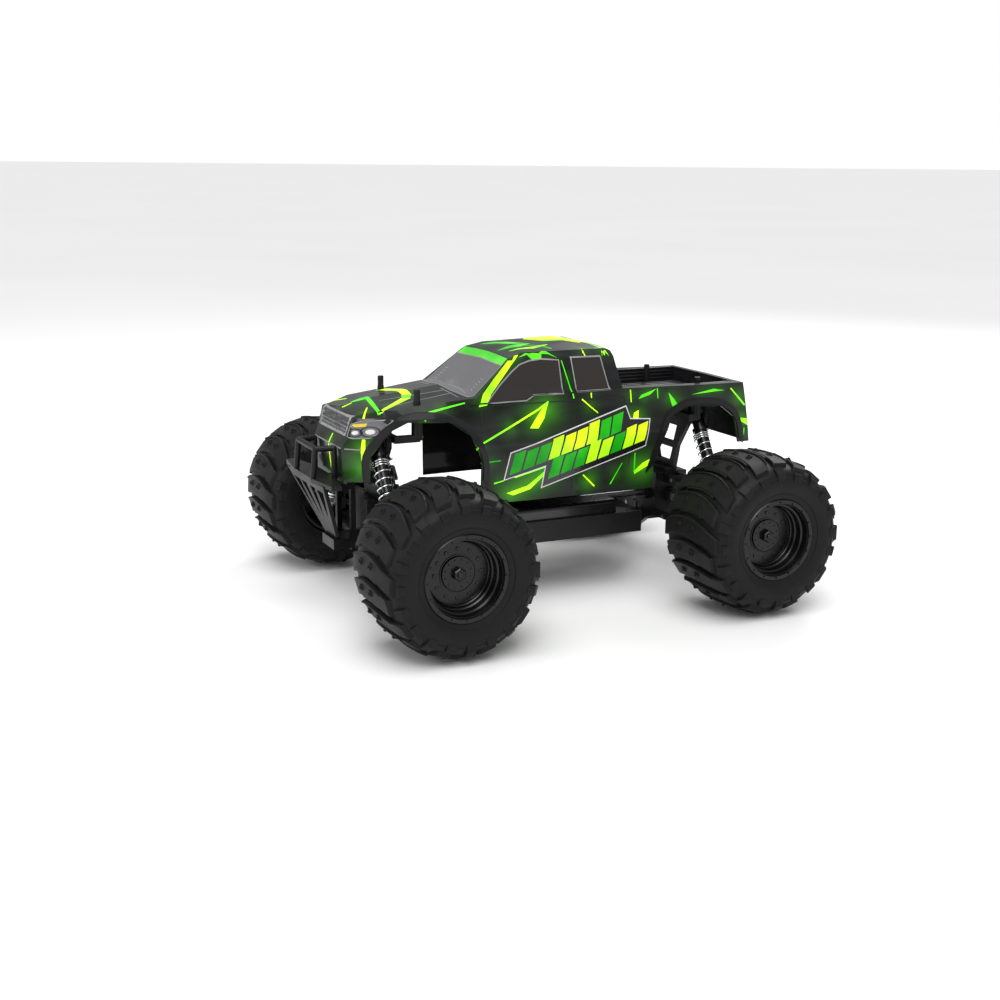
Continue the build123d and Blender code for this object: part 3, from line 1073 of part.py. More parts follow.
# Side view of the lower body and of the cab, as (x, z)
LOWER_SIDE = ((-136.0, 86.0), (-130.0, 124.7), (-128.0, 140.0), (117.0, 140.0), (122.5, 117.0), (125.5,
    105.5),
              (129.0, 99.0), (127.5, 79.0), (112.0, 79.0), (112.0, 63.0), (-122.0, 63.0), (-122.0, 86.0))
CAB_SIDE = ((57.0, 122.0), (28.2, 146.3), (16.0, 149.5), (-18.0, 152.6), (-34.0, 150.5), (-40.2, 147.5),
    (-44.5, 122.0))
CAB_BELT_HALF = 41.2
CAB_ROOF_HALF = 30.5
CAB_CROWN = 5.0
FRONT_ARCH = ((51.3, 50.0), (51.3, 90.6), (58.0, 105.0), (70.0, 113.0), (94.7, 114.2), (104.0, 110.0),
    (108.0, 105.4),
              (115.0, 95.0), (115.0, 50.0))
REAR_ARCH = ((-64.0, 50.0), (-64.0, 79.0), (-77.0, 107.5), (-88.6, 112.2), (-113.4, 111.0), (-122.7, 104.0),
             (-127.4, 87.0), (-127.4, 50.0))
BED = (-126.0, -47.0, 34.5)


def section_points(half_widths, edge_z, middle_z, inset):
    """Closed outline of one section across the lower body."""
    sill, crease, belt, edge = (width - inset for width in half_widths)
    half = [(sill, SILL_Z - inset), (crease, CREASE_Z), (belt, BELT_Z - inset / 2), (edge, edge_z - inset),
            (0, middle_z - inset)]
    return half + [(-y, z) for y, z in reversed(half[:-1])]


def side_block(points, inset, half_width):
    """Side view of the body, shrunk all round and given a width."""
    with BuildPart() as block_form:
        with BuildSketch(Plane.XZ) as side:
            with BuildLine():
                Polyline(*points, close=True)
            make_face()
            if inset:
                offset(amount=-inset, kind=Kind.INTERSECTION)
        extrude(side.sketch, amount=half_width, both=True)
    return block_form.part


def body_form(inset):
    """Solid form of the body, shrunk by the inset, before the wheel arches are cut."""
    with BuildPart() as lower:
        for x, *half_widths, edge_z, middle_z in BODY_SECTIONS:
            with BuildSketch(Plane.YZ.offset(x)):
                with BuildLine():
                    Polyline(*section_points(half_widths, edge_z, middle_z, inset), close=True)
                make_face()
        loft(ruled=True)
        add(side_block(LOWER_SIDE, inset, 60), mode=Mode.INTERSECT)
        block((BED[0] - inset, -BED[2] - inset, BED_FLOOR - inset), (BED[1] + inset, BED[2] + inset, 140),
              mode=Mode.SUBTRACT)
    roof_z = max(z for _, z in CAB_SIDE)
    with BuildPart() as cab:
        outline = [(CAB_BELT_HALF - inset, 120), (CAB_ROOF_HALF + 1.5 - inset, roof_z - CAB_CROWN - 3),
                   (CAB_ROOF_HALF - 3 - inset, roof_z - CAB_CROWN + 1.2 - inset), (10, roof_z - inset)]
        with BuildSketch(Plane.YZ.offset(-50)) as across:
            with BuildLine():
                Polyline(*outline, *[(-y, z) for y, z in reversed(outline)], close=True)
            make_face()
        extrude(across.sketch, amount=120)
        add(side_block(CAB_SIDE, inset, 60), mode=Mode.INTERSECT)
    with BuildPart() as form:
        add(lower.part)
        add(cab.part)
    return form.part


def make_body_shell():
    """Thin lift-off body: pickup cab, bonnet and open bed, with wheel arches and post holes."""
    outer = body_form(0)
    inner = body_form(SHELL_WALL)
    with BuildPart() as body_shell:
        add(outer)
        add(inner, mode=Mode.SUBTRACT)
        block((-140, -60, SILL_Z - 10), (112, 60, 63 + SHELL_WALL), mode=Mode.SUBTRACT)
        for arch in (FRONT_ARCH, REAR_ARCH):
            prism(Plane.XZ.offset(-60), arch, 120, mode=Mode.SUBTRACT)
        block((114, -60, 70), (126, 60, 79 + SHELL_WALL + 0.1), mode=Mode.SUBTRACT)
        block((-137, -60, 80), (-126, 60, 86 + SHELL_WALL + 0.1), mode=Mode.SUBTRACT)
        for x, y, top in (FRONT_POST, REAR_POST):
            for _, side in SIDES:
                bar((x, side * y, 108), (x, side * y, top + 2), POST_RADIUS + POST_HOLE_GAP,
                    mode=Mode.SUBTRACT)
    save(body_shell, "body_shell")


def main():
    os.makedirs("parts", exist_ok=True)
    for corner in CORNERS:
        make_tyre(corner)
        make_rim(corner)
        make_lower_arm(corner)
        make_upper_arm(corner)
        make_shock(corner)
        make_dogbone(corner)
        if corner.end > 0:
            make_c_hub(corner)
            make_knuckle(corner)
        else:
            make_hub_carrier(corner)
    for end_name, end in ENDS:
        make_gearbox(end_name, end)
        make_differential(end_name, end)
        make_shock_tower(end_name, end)
    make_hinge_pins()
    make_centre_driveshaft()
    make_motor_pinion()
    make_drive_motor()
    make_steering_servo()
    make_servo_horn()
    make_steering_link()
    for side_name, side in SIDES:
        make_tie_rod(side_name, side)
    make_chassis()
    make_front_bumper()
    make_body_mounts()
    make_battery()
    make_receiver()
    make_power_switch()
    make_body_shell()


main()
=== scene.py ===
"""Monster truck: visible surfaces, finishes, light and camera around the fixed mechanical frame."""

import logging
import math
from dataclasses import dataclass, field
from enum import Enum

import bmesh
import bpy
import numpy as np
from mathutils import Matrix, Vector
from mathutils.bvhtree import BVHTree


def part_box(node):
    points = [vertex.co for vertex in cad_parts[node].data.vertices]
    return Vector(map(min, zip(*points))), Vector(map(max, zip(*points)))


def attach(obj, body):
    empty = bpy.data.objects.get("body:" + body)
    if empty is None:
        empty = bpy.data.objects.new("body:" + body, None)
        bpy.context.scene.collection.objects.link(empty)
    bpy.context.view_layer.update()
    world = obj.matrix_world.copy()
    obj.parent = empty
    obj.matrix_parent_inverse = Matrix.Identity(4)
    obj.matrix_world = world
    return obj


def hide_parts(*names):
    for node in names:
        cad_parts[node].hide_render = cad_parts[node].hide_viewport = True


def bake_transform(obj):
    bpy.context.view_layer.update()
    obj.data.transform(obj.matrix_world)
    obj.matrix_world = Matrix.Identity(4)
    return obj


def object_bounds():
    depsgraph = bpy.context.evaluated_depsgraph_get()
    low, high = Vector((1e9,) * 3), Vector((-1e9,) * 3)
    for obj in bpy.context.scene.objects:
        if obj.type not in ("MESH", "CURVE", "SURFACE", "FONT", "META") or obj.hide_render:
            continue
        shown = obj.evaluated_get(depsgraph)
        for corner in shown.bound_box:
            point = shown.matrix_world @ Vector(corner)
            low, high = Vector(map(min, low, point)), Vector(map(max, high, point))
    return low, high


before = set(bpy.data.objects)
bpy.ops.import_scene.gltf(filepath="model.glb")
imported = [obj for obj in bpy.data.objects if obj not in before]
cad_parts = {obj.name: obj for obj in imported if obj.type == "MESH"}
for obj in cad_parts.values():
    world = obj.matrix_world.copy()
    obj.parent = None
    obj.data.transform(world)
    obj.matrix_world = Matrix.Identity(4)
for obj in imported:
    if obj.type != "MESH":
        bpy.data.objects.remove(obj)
CAD_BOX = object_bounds()
LOG = logging.getLogger("truck")
MM = 0.001
FAR_OUTSIDE = 400.0
CLOUDS_PER_GRAIN = 1 / 40
WEAR = 0.15
MITRE_LIMIT = 0.4

Point2 = tuple[float, float]
Colour = tuple[float, float, float]
Mesh = bmesh.types.BMesh
Material = bpy.types.Material
Socket = bpy.types.NodeSocket
Piece = bpy.types.Object


class View(Enum):
    """Direction in which a flat outline is pressed on to the body."""

    LEFT = (0, 1, 0)
    RIGHT = (0, -1, 0)
    TOP = (0, 0, 1)
    FRONT = (1, 0, 0)
    REAR = (-1, 0, 0)

    def place(self, point: Point2) -> Vector:
        """Point of an outline, far outside the body on this side, in millimetres.

        Args:
            point: (x, z) on a side, (x, y) on top, (y, z) at the front and back.

        Returns:
            The point in the frame's axes.
        """
        first, second = point
        if self in (View.LEFT, View.RIGHT):
            return Vector((first, self.value[1] * FAR_OUTSIDE, second))
        if self is View.TOP:
            return Vector((first, second, FAR_OUTSIDE))
        return Vector((self.value[0] * FAR_OUTSIDE, first, second))


class Ink(Enum):
    """Print that a streak belongs to."""

    LIME = "lime_streaks"
    GREEN = "green_streaks"


# ------------------------------------------------------------------------------------------
# Finishes
# ------------------------------------------------------------------------------------------
class Shader:
    """Small helper that builds a node material around one Principled shader."""

    def __init__(self, name: str) -> None:
        """Start an empty material.

        Args:
            name: name of the material.
        """
        self.material = bpy.data.materials.new(name)
        self.material.use_nodes = True
        self.tree = self.material.node_tree
        self.principled = self.tree.nodes["Principled BSDF"]
        self.position = self.node("ShaderNodeTexCoord").outputs["Object"]

    def node(self, kind: str, **settings: object) -> bpy.types.Node:
        """Add a node and set its properties.

        Args:
            kind: node type.
            settings: properties by name.

        Returns:
            The new node.
        """
        made = self.tree.nodes.new(kind)
        for key, value in settings.items():
            setattr(made, key, value)
        return made

    def link(self, source: Socket, target: Socket) -> None:
        """Join two sockets."""
        self.tree.links.new(source, target)

    def constants(self, values: dict[str, float]) -> None:
        """Set sockets of the Principled shader by name."""
        for name, value in values.items():
            self.principled.inputs[name].default_value = value

    def drive(self, name: str, source: Socket) -> None:
        """Join a value or a colour to a socket of the Principled shader."""
        self.link(source, self.principled.inputs[name])

    def noise(self, scale: float, detail: float = 3.0) -> Socket:
        """Noise over the object's own coordinates.

        Args:
            scale: features per metre.
            detail: octaves.

        Returns:
            The noise value.
        """
        made = self.node("ShaderNodeTexNoise")
        made.inputs["Scale"].default_value = scale
        made.inputs["Detail"].default_value = detail
        self.link(self.position, made.inputs["Vector"])
        return made.outputs["Fac"]

    def spread(self, source: Socket, low: float, high: float, start: float = 0.3,
               stop: float = 0.7) -> Socket:
        """Map a value from one range to another.

        Args:
            source: value that comes in.
            low: result at the start.
            high: result at the stop.
            start: first value of the range that comes in.
            stop: last value of the range that comes in.

        Returns:
            The mapped value.
        """
        made = self.node("ShaderNodeMapRange")
        for key, value in (("From Min", start), ("From Max", stop), ("To Min", low), ("To Max", high)):
            made.inputs[key].default_value = value
        self.link(source, made.inputs["Value"])
        return made.outputs["Result"]

    def blend(self, factor: Socket, first: object, second: object) -> Socket:
        """Mix two colours, each given as a socket or a colour.

        Args:
            factor: share of the second colour.
            first: colour or socket at 0.
            second: colour or socket at 1.

        Returns:
            The mixed colour.
        """
        made = self.node("ShaderNodeMix", data_type="RGBA")
        self.link(factor, made.inputs["Factor"])
        for socket, value in ((made.inputs[6], first), (made.inputs[7], second)):
            if isinstance(value, tuple):
                socket.default_value = (*value, 1.0)
            else:
                self.link(value, socket)
        return made.outputs[2]

    def bump(self, height: Socket, strength: float, distance: float = 0.0003) -> None:
        """Drive the shader's normal from a height.

        Args:
            height: height value.
            strength: 0 to 1.
            distance: depth in metres.
        """
        made = self.node("ShaderNodeBump")
        made.inputs["Strength"].default_value = strength
        made.inputs["Distance"].default_value = distance
        self.link(height, made.inputs["Height"])
        self.link(made.outputs["Normal"], self.principled.inputs["Normal"])


@dataclass(frozen=True)
class Finish:
    """Moulded or metal surface with grain, colour drift and wear in its roughness."""

    name: str
    colour: Colour
    roughness: float = 0.5
    metallic: float = 0.0
    coat: float = 0.0
    grain: float = 2500.0
    relief: float = 0.25
    drift: float = 0.35
    specular: float = 0.5
    coat_roughness: float = 0.08

    def material(self) -> Material:
        """Build the node material.

        Returns:
            The material.
        """
        shader = Shader(self.name)
        cloudy = shader.noise(self.grain * CLOUDS_PER_GRAIN, 4)
        fine = shader.noise(self.grain, 2)
        darker = tuple(channel * (1 - self.drift) for channel in self.colour)
        lighter = tuple(min(channel * (1 + self.drift), 1.0) for channel in self.colour)
        roughest = min(self.roughness * (1 + WEAR), 1.0)
        shader.drive("Base Color", shader.blend(cloudy, darker, lighter))
        shader.drive("Roughness", shader.spread(cloudy, self.roughness * (1 - WEAR), roughest))
        shader.constants({"Metallic": self.metallic, "Coat Weight": self.coat,
                          "Coat Roughness": self.coat_roughness, "Specular IOR Level": self.specular})
        shader.bump(fine, self.relief)
        return shader.material


@dataclass(frozen=True)
class Neon:
    """Printed streak that runs from green to yellow, with emission that paints a glow on it."""

    name: str
    low: Colour
    high: Colour
    glow: float = 1.0
    period: float = 30.0
    turnover: Point2 = (0.4, 0.62)
    grain: float = 900.0
    roughness: Point2 = (0.22, 0.3)
    coat: float = 0.15
    specular: float = 0.2

    def material(self) -> Material:
        """Build the node material.

        Returns:
            The material.
        """
        shader = Shader(self.name)
        drift = shader.spread(shader.noise(self.period, 2), 0.0, 1.0, *self.turnover)
        colour = shader.blend(drift, self.low, self.high)
        shader.drive("Base Color", colour)
        # The print's colour also drives emission: a painted glow, as the streak is no lamp.
        shader.drive("Emission Color", colour)
        shader.drive("Roughness", shader.spread(shader.noise(self.grain), *self.roughness))
        shader.constants({"Emission Strength": self.glow, "Coat Weight": self.coat,
                          "Specular IOR Level": self.specular})
        return shader.material


@dataclass(frozen=True)
class ShellPaint:
    """Gloss charcoal body paint, with faceted patches of painted sheen and a printed green halo round the
    streaks, whose emission adds a painted glow.
    """

    name: str
    base: Colour = (0.003, 0.003, 0.0035)
    sheen: Colour = (0.022, 0.022, 0.024)
    # Green of the printed halo round the streaks, and the strength of its painted glow.
    glow_colour: Colour = (0.07, 0.42, 0.005)
    glow: float = 0.22
    # Size, turn, stretch and edge of the faceted patches of painted sheen.
    sheen_patch_scale: float = 42.0
    sheen_patch_turn: tuple[float, float, float] = (0.3, 0.5, 0.4)
    sheen_patch_stretch: tuple[float, float, float] = (0.6, 1.6, 2.4)
    sheen_patch_edge: Point2 = (0.1, 0.75)
    flake: float = 6000.0
    flake_relief: float = 0.05
    flake_depth: float = 0.00005
    roughness: Point2 = (0.26, 0.36)
    coat: float = 0.28
    coat_roughness: float = 0.05
    specular: float = 0.1

    def material(self) -> Material:
        """Build the node material, which reads the mesh's own glow attribute.

        Returns:
            The material.
        """
        shader = Shader(self.name)
        facets = shader.node("ShaderNodeTexVoronoi", feature="F1", distance="CHEBYCHEV")
        facets.inputs["Scale"].default_value = self.sheen_patch_scale
        turn = shader.node("ShaderNodeMapping")
        turn.inputs["Rotation"].default_value = self.sheen_patch_turn
        turn.inputs["Scale"].default_value = self.sheen_patch_stretch
        shader.link(shader.position, turn.inputs["Vector"])
        shader.link(turn.outputs["Vector"], facets.inputs["Vector"])
        sheen_patches = shader.spread(facets.outputs["Distance"], 0.0, 1.0, *self.sheen_patch_edge)
        # The lighter colour mixed in over the faceted patches is a painted sheen on the dark paint.
        body = shader.blend(sheen_patches, self.base, self.sheen)
        glow = shader.node("ShaderNodeAttribute", attribute_name="glow").outputs["Fac"]
        flake = shader.noise(self.flake, 1)
        # The green halo in the base colour is print; its emission is a painted glow, as the shell is no lamp.
        shader.drive("Base Color", shader.blend(glow, body, self.glow_colour))
        shader.drive("Emission Color", shader.blend(glow, (0.0, 0.0, 0.0), self.glow_colour))
        shader.drive("Roughness", shader.spread(flake, *self.roughness))
        shader.constants({"Emission Strength": self.glow, "Coat Weight": self.coat,
                          "Coat Roughness": self.coat_roughness, "Specular IOR Level": self.specular})
        shader.bump(flake, self.flake_relief, self.flake_depth)
        return shader.material


@dataclass(frozen=True)
class Honeycomb:
    """Hexagonal mesh, as on a radiator grille."""

    name: str
    bar: Colour = (0.42, 0.43, 0.44)
    hole: Colour = (0.01, 0.01, 0.011)
    scale: float = 420.0
    unevenness: float = 0.15
    bar_edge: Point2 = (0.10, 0.16)
    roughness: Point2 = (0.35, 0.8)
    relief: float = 0.6

    def material(self) -> Material:
        """Build the node material.

        Returns:
            The material.
        """
        shader = Shader(self.name)
        cells = shader.node("ShaderNodeTexVoronoi", feature="DISTANCE_TO_EDGE")
        cells.inputs["Scale"].default_value = self.scale
        cells.inputs["Randomness"].default_value = self.unevenness
        shader.link(shader.position, cells.inputs["Vector"])
        inside = shader.spread(cells.outputs["Distance"], 0.0, 1.0, *self.bar_edge)
        shader.drive("Base Color", shader.blend(inside, self.bar, self.hole))
        shader.drive("Roughness", shader.spread(inside, *self.roughness, 0.0, 1.0))
        shader.bump(shader.spread(inside, 1.0, 0.0, 0.0, 1.0), self.relief)
        return shader.material


RUBBER = Finish("tyre rubber", (0.006, 0.006, 0.0063), 0.55, grain=1800, relief=0.3, drift=0.25,
                specular=0.2)
RIM_BLACK = Finish("satin rim plastic", (0.003, 0.003, 0.0033), 0.26, relief=0.06, specular=0.35)
NYLON = Finish("glass-filled nylon", (0.006, 0.006, 0.0065), 0.45, relief=0.3, specular=0.35)
NYLON_GREY = Finish("worn nylon", (0.035, 0.035, 0.037), 0.48, relief=0.35)
CHROME = Finish("chrome wire", (0.86, 0.87, 0.88), 0.09, 1.0, relief=0.02, drift=0.04)
STEEL = Finish("oiled steel", (0.26, 0.26, 0.27), 0.34, 1.0, relief=0.12)
GEAR = Finish("sintered steel", (0.36, 0.35, 0.33), 0.45, 1.0, relief=0.3)
CAN = Finish("plated motor can", (0.55, 0.56, 0.57), 0.26, 1.0, relief=0.05)
WRAP = Finish("battery wrap", (0.008, 0.008, 0.009), 0.3, coat=0.4, grain=900, relief=0.1)
CASE = Finish("electronics case", (0.03, 0.03, 0.033), 0.55, relief=0.5)
KNOB = Finish("red switch knob", (0.45, 0.02, 0.015), 0.4, relief=0.1)
GLASS_SIDE = Finish("tinted side window", (0.026, 0.022, 0.020), 0.2, coat=0.3, grain=300, relief=0.02,
                    drift=0.12, specular=0.25)
GLASS_FRONT = Finish("silvered windscreen", (0.16, 0.16, 0.17), 0.22, 0.3, coat=0.4, grain=500, relief=0.02,
                     drift=0.4)
# Pale colour of the printed window outlines, and of the painted highlights along the creases.
OUTLINE_AND_CREASE_HIGHLIGHT = Finish("pale outline and crease highlight", (0.26, 0.26, 0.27), 0.35, relief=0.05)
WHITE = Finish("white print", (0.72, 0.73, 0.72), 0.35, relief=0.05, drift=0.08)
INK = Finish("black print", (0.006, 0.006, 0.007), 0.25, coat=0.5, relief=0.05)
AMBER = Finish("amber lamp print", (0.85, 0.55, 0.02), 0.3, coat=0.5, relief=0.05)
LINER = Finish("arch lip plastic", (0.009, 0.009, 0.0095), 0.36, relief=0.1, specular=0.3)
SEAM = Finish("shut line", (0.002, 0.002, 0.002), 0.6, relief=0.1)
# The printed streaks below emit light: their glow is painted.
LIME = Neon("lime streak", (0.16, 0.85, 0.01), (0.62, 0.95, 0.01), 0.9)
GREEN = Neon("green streak", (0.015, 0.45, 0.008), (0.10, 0.76, 0.008), 0.65)
SHELL_PAINT = ShellPaint("charcoal body paint")
GRILLE = Honeycomb("honeycomb grille")
LAMP = Finish("lamp print", (0.14, 0.14, 0.15), 0.18, 0.3, coat=0.6, grain=1200, relief=0.1, drift=0.7)
TAIL_RED = Finish("tail lamp red", (0.35, 0.008, 0.01), 0.2, coat=0.8, grain=800, relief=0.05)
RIB = Finish("moulded ribs", (0.02, 0.02, 0.022), 0.35, coat=0.3, relief=0.05)
BUMPER = Finish("bumper nylon", (0.005, 0.005, 0.0053), 0.4, relief=0.25, specular=0.3)
# The printed bars and windscreen band below also emit light: a painted glow.
LIME_PRINT = Neon("lime print", (0.28, 0.80, 0.01), (0.70, 0.90, 0.01), 0.35)
GREEN_PRINT = Neon("green print", (0.004, 0.26, 0.006), (0.02, 0.50, 0.008), 0.28)
PALE_GREEN = Neon("pale green band", (0.05, 0.50, 0.02), (0.16, 0.68, 0.06), 0.3)
FLOOR = Finish("pale floor", (0.93, 0.93, 0.93), 0.8, grain=60, relief=0.02, drift=0.01)


# ------------------------------------------------------------------------------------------
# Mesh helpers
# ------------------------------------------------------------------------------------------
def finish_mesh(bm: Mesh, name: str, surface: Material, smooth: bool = True,
                sharp: float = 35.0) -> Piece:
    """Turn a bmesh in millimetres into an object in metres at the origin.

    Args:
        bm: mesh in millimetres; it is freed.
        name: object's name.
        surface: its material.
        smooth: shade it smooth.
        sharp: edges sharper than this many degrees stay hard.

    Returns:
        The new object.
    """
    bmesh.ops.transform(bm, matrix=Matrix.Scale(MM, 4), verts=bm.verts)
    for face in bm.faces:
        face.smooth = smooth
    for edge in bm.edges:
        if len(edge.link_faces) == 2 and edge.calc_face_angle(0) > math.radians(sharp):
            edge.smooth = False
    mesh = bpy.data.meshes.new(name)
    bm.to_mesh(mesh)
    bm.free()
    mesh.materials.append(surface)
    made = bpy.data.objects.new(name, mesh)
    bpy.context.scene.collection.objects.link(made)
    return made


def lathe(bm: Mesh, outline: list[Point2], steps: int = 96, closed: bool = False) -> None:
    """Spin an outline about the Y axis.

    Args:
        bm: mesh that receives the ring.
        outline: (distance along Y, radius) points.
        steps: number of segments.
        closed: join the last point to the first.
    """
    verts = [bm.verts.new((radius, along, 0)) for along, radius in outline]
    edges = [bm.edges.new(pair) for pair in zip(verts, verts[1:])]
    if closed:
        edges.append(bm.edges.new((verts[-1], verts[0])))
    bmesh.ops.spin(bm, geom=verts + edges, cent=(0, 0, 0), axis=(0, 1, 0), angle=math.tau, steps=steps,
                   use_merge=True)
    bmesh.ops.remove_doubles(bm, verts=bm.verts, dist=1e-4)


def bevel_sharp(bm: Mesh, width: float, segments: int = 2, angle: float = 40.0) -> None:
    """Round every edge that is sharper than an angle.

    Args:
        bm: mesh to change.
        width: bevel width in millimetres.
        segments: bevel segments.
        angle: least angle in degrees.
    """
    edges = [e for e in bm.edges if len(e.link_faces) == 2 and e.calc_face_angle(0) > math.radians(angle)]
    bmesh.ops.bevel(bm, geom=edges, offset=width, segments=segments, profile=0.5, affect="EDGES", material=-1,
                    clamp_overlap=True)


def slice_evenly(bm: Mesh, axis: int, low: float, high: float, count: int) -> None:
    """Cut a mesh by evenly spaced planes.

    Args:
        bm: mesh to cut.
        axis: 0, 1 or 2.
        low: where the range starts.
        high: where it ends.
        count: number of strips.
    """
    normal = Vector((0, 0, 0))
    normal[axis] = 1
    for k in range(1, count):
        place = Vector((0, 0, 0))
        place[axis] = low + (high - low) * k / count
        everything = bm.verts[:] + bm.edges[:] + bm.faces[:]
        bmesh.ops.bisect_plane(bm, geom=everything, plane_co=place, plane_no=normal)


def along(points: list[Point2], share: float) -> tuple[Vector, Vector]:
    """Point and outward normal at a share of a polyline's length.

    Args:
        points: polyline.
        share: 0 at its start, 1 at its end.

    Returns:
        The point and the normal to the left of the run.
    """
    spans = [(Vector(b) - Vector(a)).length for a, b in zip(points, points[1:])]
    rest = min(max(share, 0.0), 1.0) * sum(spans)
    index = 0
    while index < len(spans) - 1 and rest > spans[index]:
        rest -= spans[index]
        index += 1
    start, stop = Vector(points[index]), Vector(points[index + 1])
    run = (stop - start).normalized()
    return start.lerp(stop, rest / spans[index]), Vector((-run.y, run.x))


def flowing(points: list[Point2], per_span: int = 3) -> list[Point2]:
    """Smooth curve through a few points.

    Args:
        points: points that the curve passes through.
        per_span: steps between two points.

    Returns:
        Points of the curve.
    """
    ends = [points[0], *points, points[-1]]
    curve: list[Point2] = []
    for p0, p1, p2, p3 in zip(ends, ends[1:], ends[2:], ends[3:]):
        for step in range(per_span):
            t = step / per_span
            curve.append(tuple(
                0.5 * (2 * b + (c - a) * t + (2 * a - 5 * b + 4 * c - d) * t ** 2
                       + (3 * b - a - 3 * c + d) * t ** 3)
                for a, b, c, d in zip(p0, p1, p2, p3)))
    curve.append(points[-1])
    return curve


def grown(points: list[Point2], by: float) -> list[Point2]:
    """Outline moved outwards by a margin.

    Args:
        points: corners of the outline.
        by: margin in millimetres.

    Returns:
        The larger outline.
    """
    area = sum(a[0] * b[1] - b[0] * a[1] for a, b in zip(points, points[1:] + points[:1]))
    sign = 1 if area > 0 else -1
    result = []
    for before, here, after in zip(points[-1:] + points[:-1], points, points[1:] + points[:1]):
        first = (Vector(here) - Vector(before)).normalized()
        second = (Vector(after) - Vector(here)).normalized()
        normal = Vector((first.y + second.y, -first.x - second.x)).normalized()
        spread = max(normal.dot(Vector((first.y, -first.x))), MITRE_LIMIT)
        moved = Vector(here) + normal * sign * by / spread
        result.append((moved.x, moved.y))
    return result


def strip(start: Point2, stop: Point2, width: float, end_width: float) -> list[Point2]:
    """Straight tapering streak.

    Args:
        start: middle of its first end.
        stop: middle of its last end.
        width: width at the start.
        end_width: width at the stop.

    Returns:
        Its four corners.
    """
    a, b = Vector(start), Vector(stop)
    side = Vector((-(b - a).y, (b - a).x)).normalized()
    first, last = side * width / 2, side * end_width / 2
    return [(corner.x, corner.y) for corner in (a + first, a - first, b - last, b + last)]


def sided(points: tuple[Point2, ...], side: int) -> list[Point2]:
    """Outline on one side of the middle, which is +1 or -1 times its first coordinate."""
    return [(side * across, up) for across, up in points]


def disc(centre: Point2, radius: float, sides: int = 20) -> list[Point2]:
    """Round outline about a centre."""
    turns = [math.tau * k / sides for k in range(sides)]
    return [(centre[0] + radius * math.cos(turn), centre[1] + radius * math.sin(turn)) for turn in turns]


# ------------------------------------------------------------------------------------------
# Wheels
# ------------------------------------------------------------------------------------------
@dataclass(frozen=True)
class Block:
    """One raised rubber block; its size and place are (across, around), its heights from the casing."""

    size: Point2
    height: float
    centre: Point2 = (0.0, 0.0)
    arch: float = 0.0
    cells: int = 12
    lean: float = 0.0
    base: float = -0.7


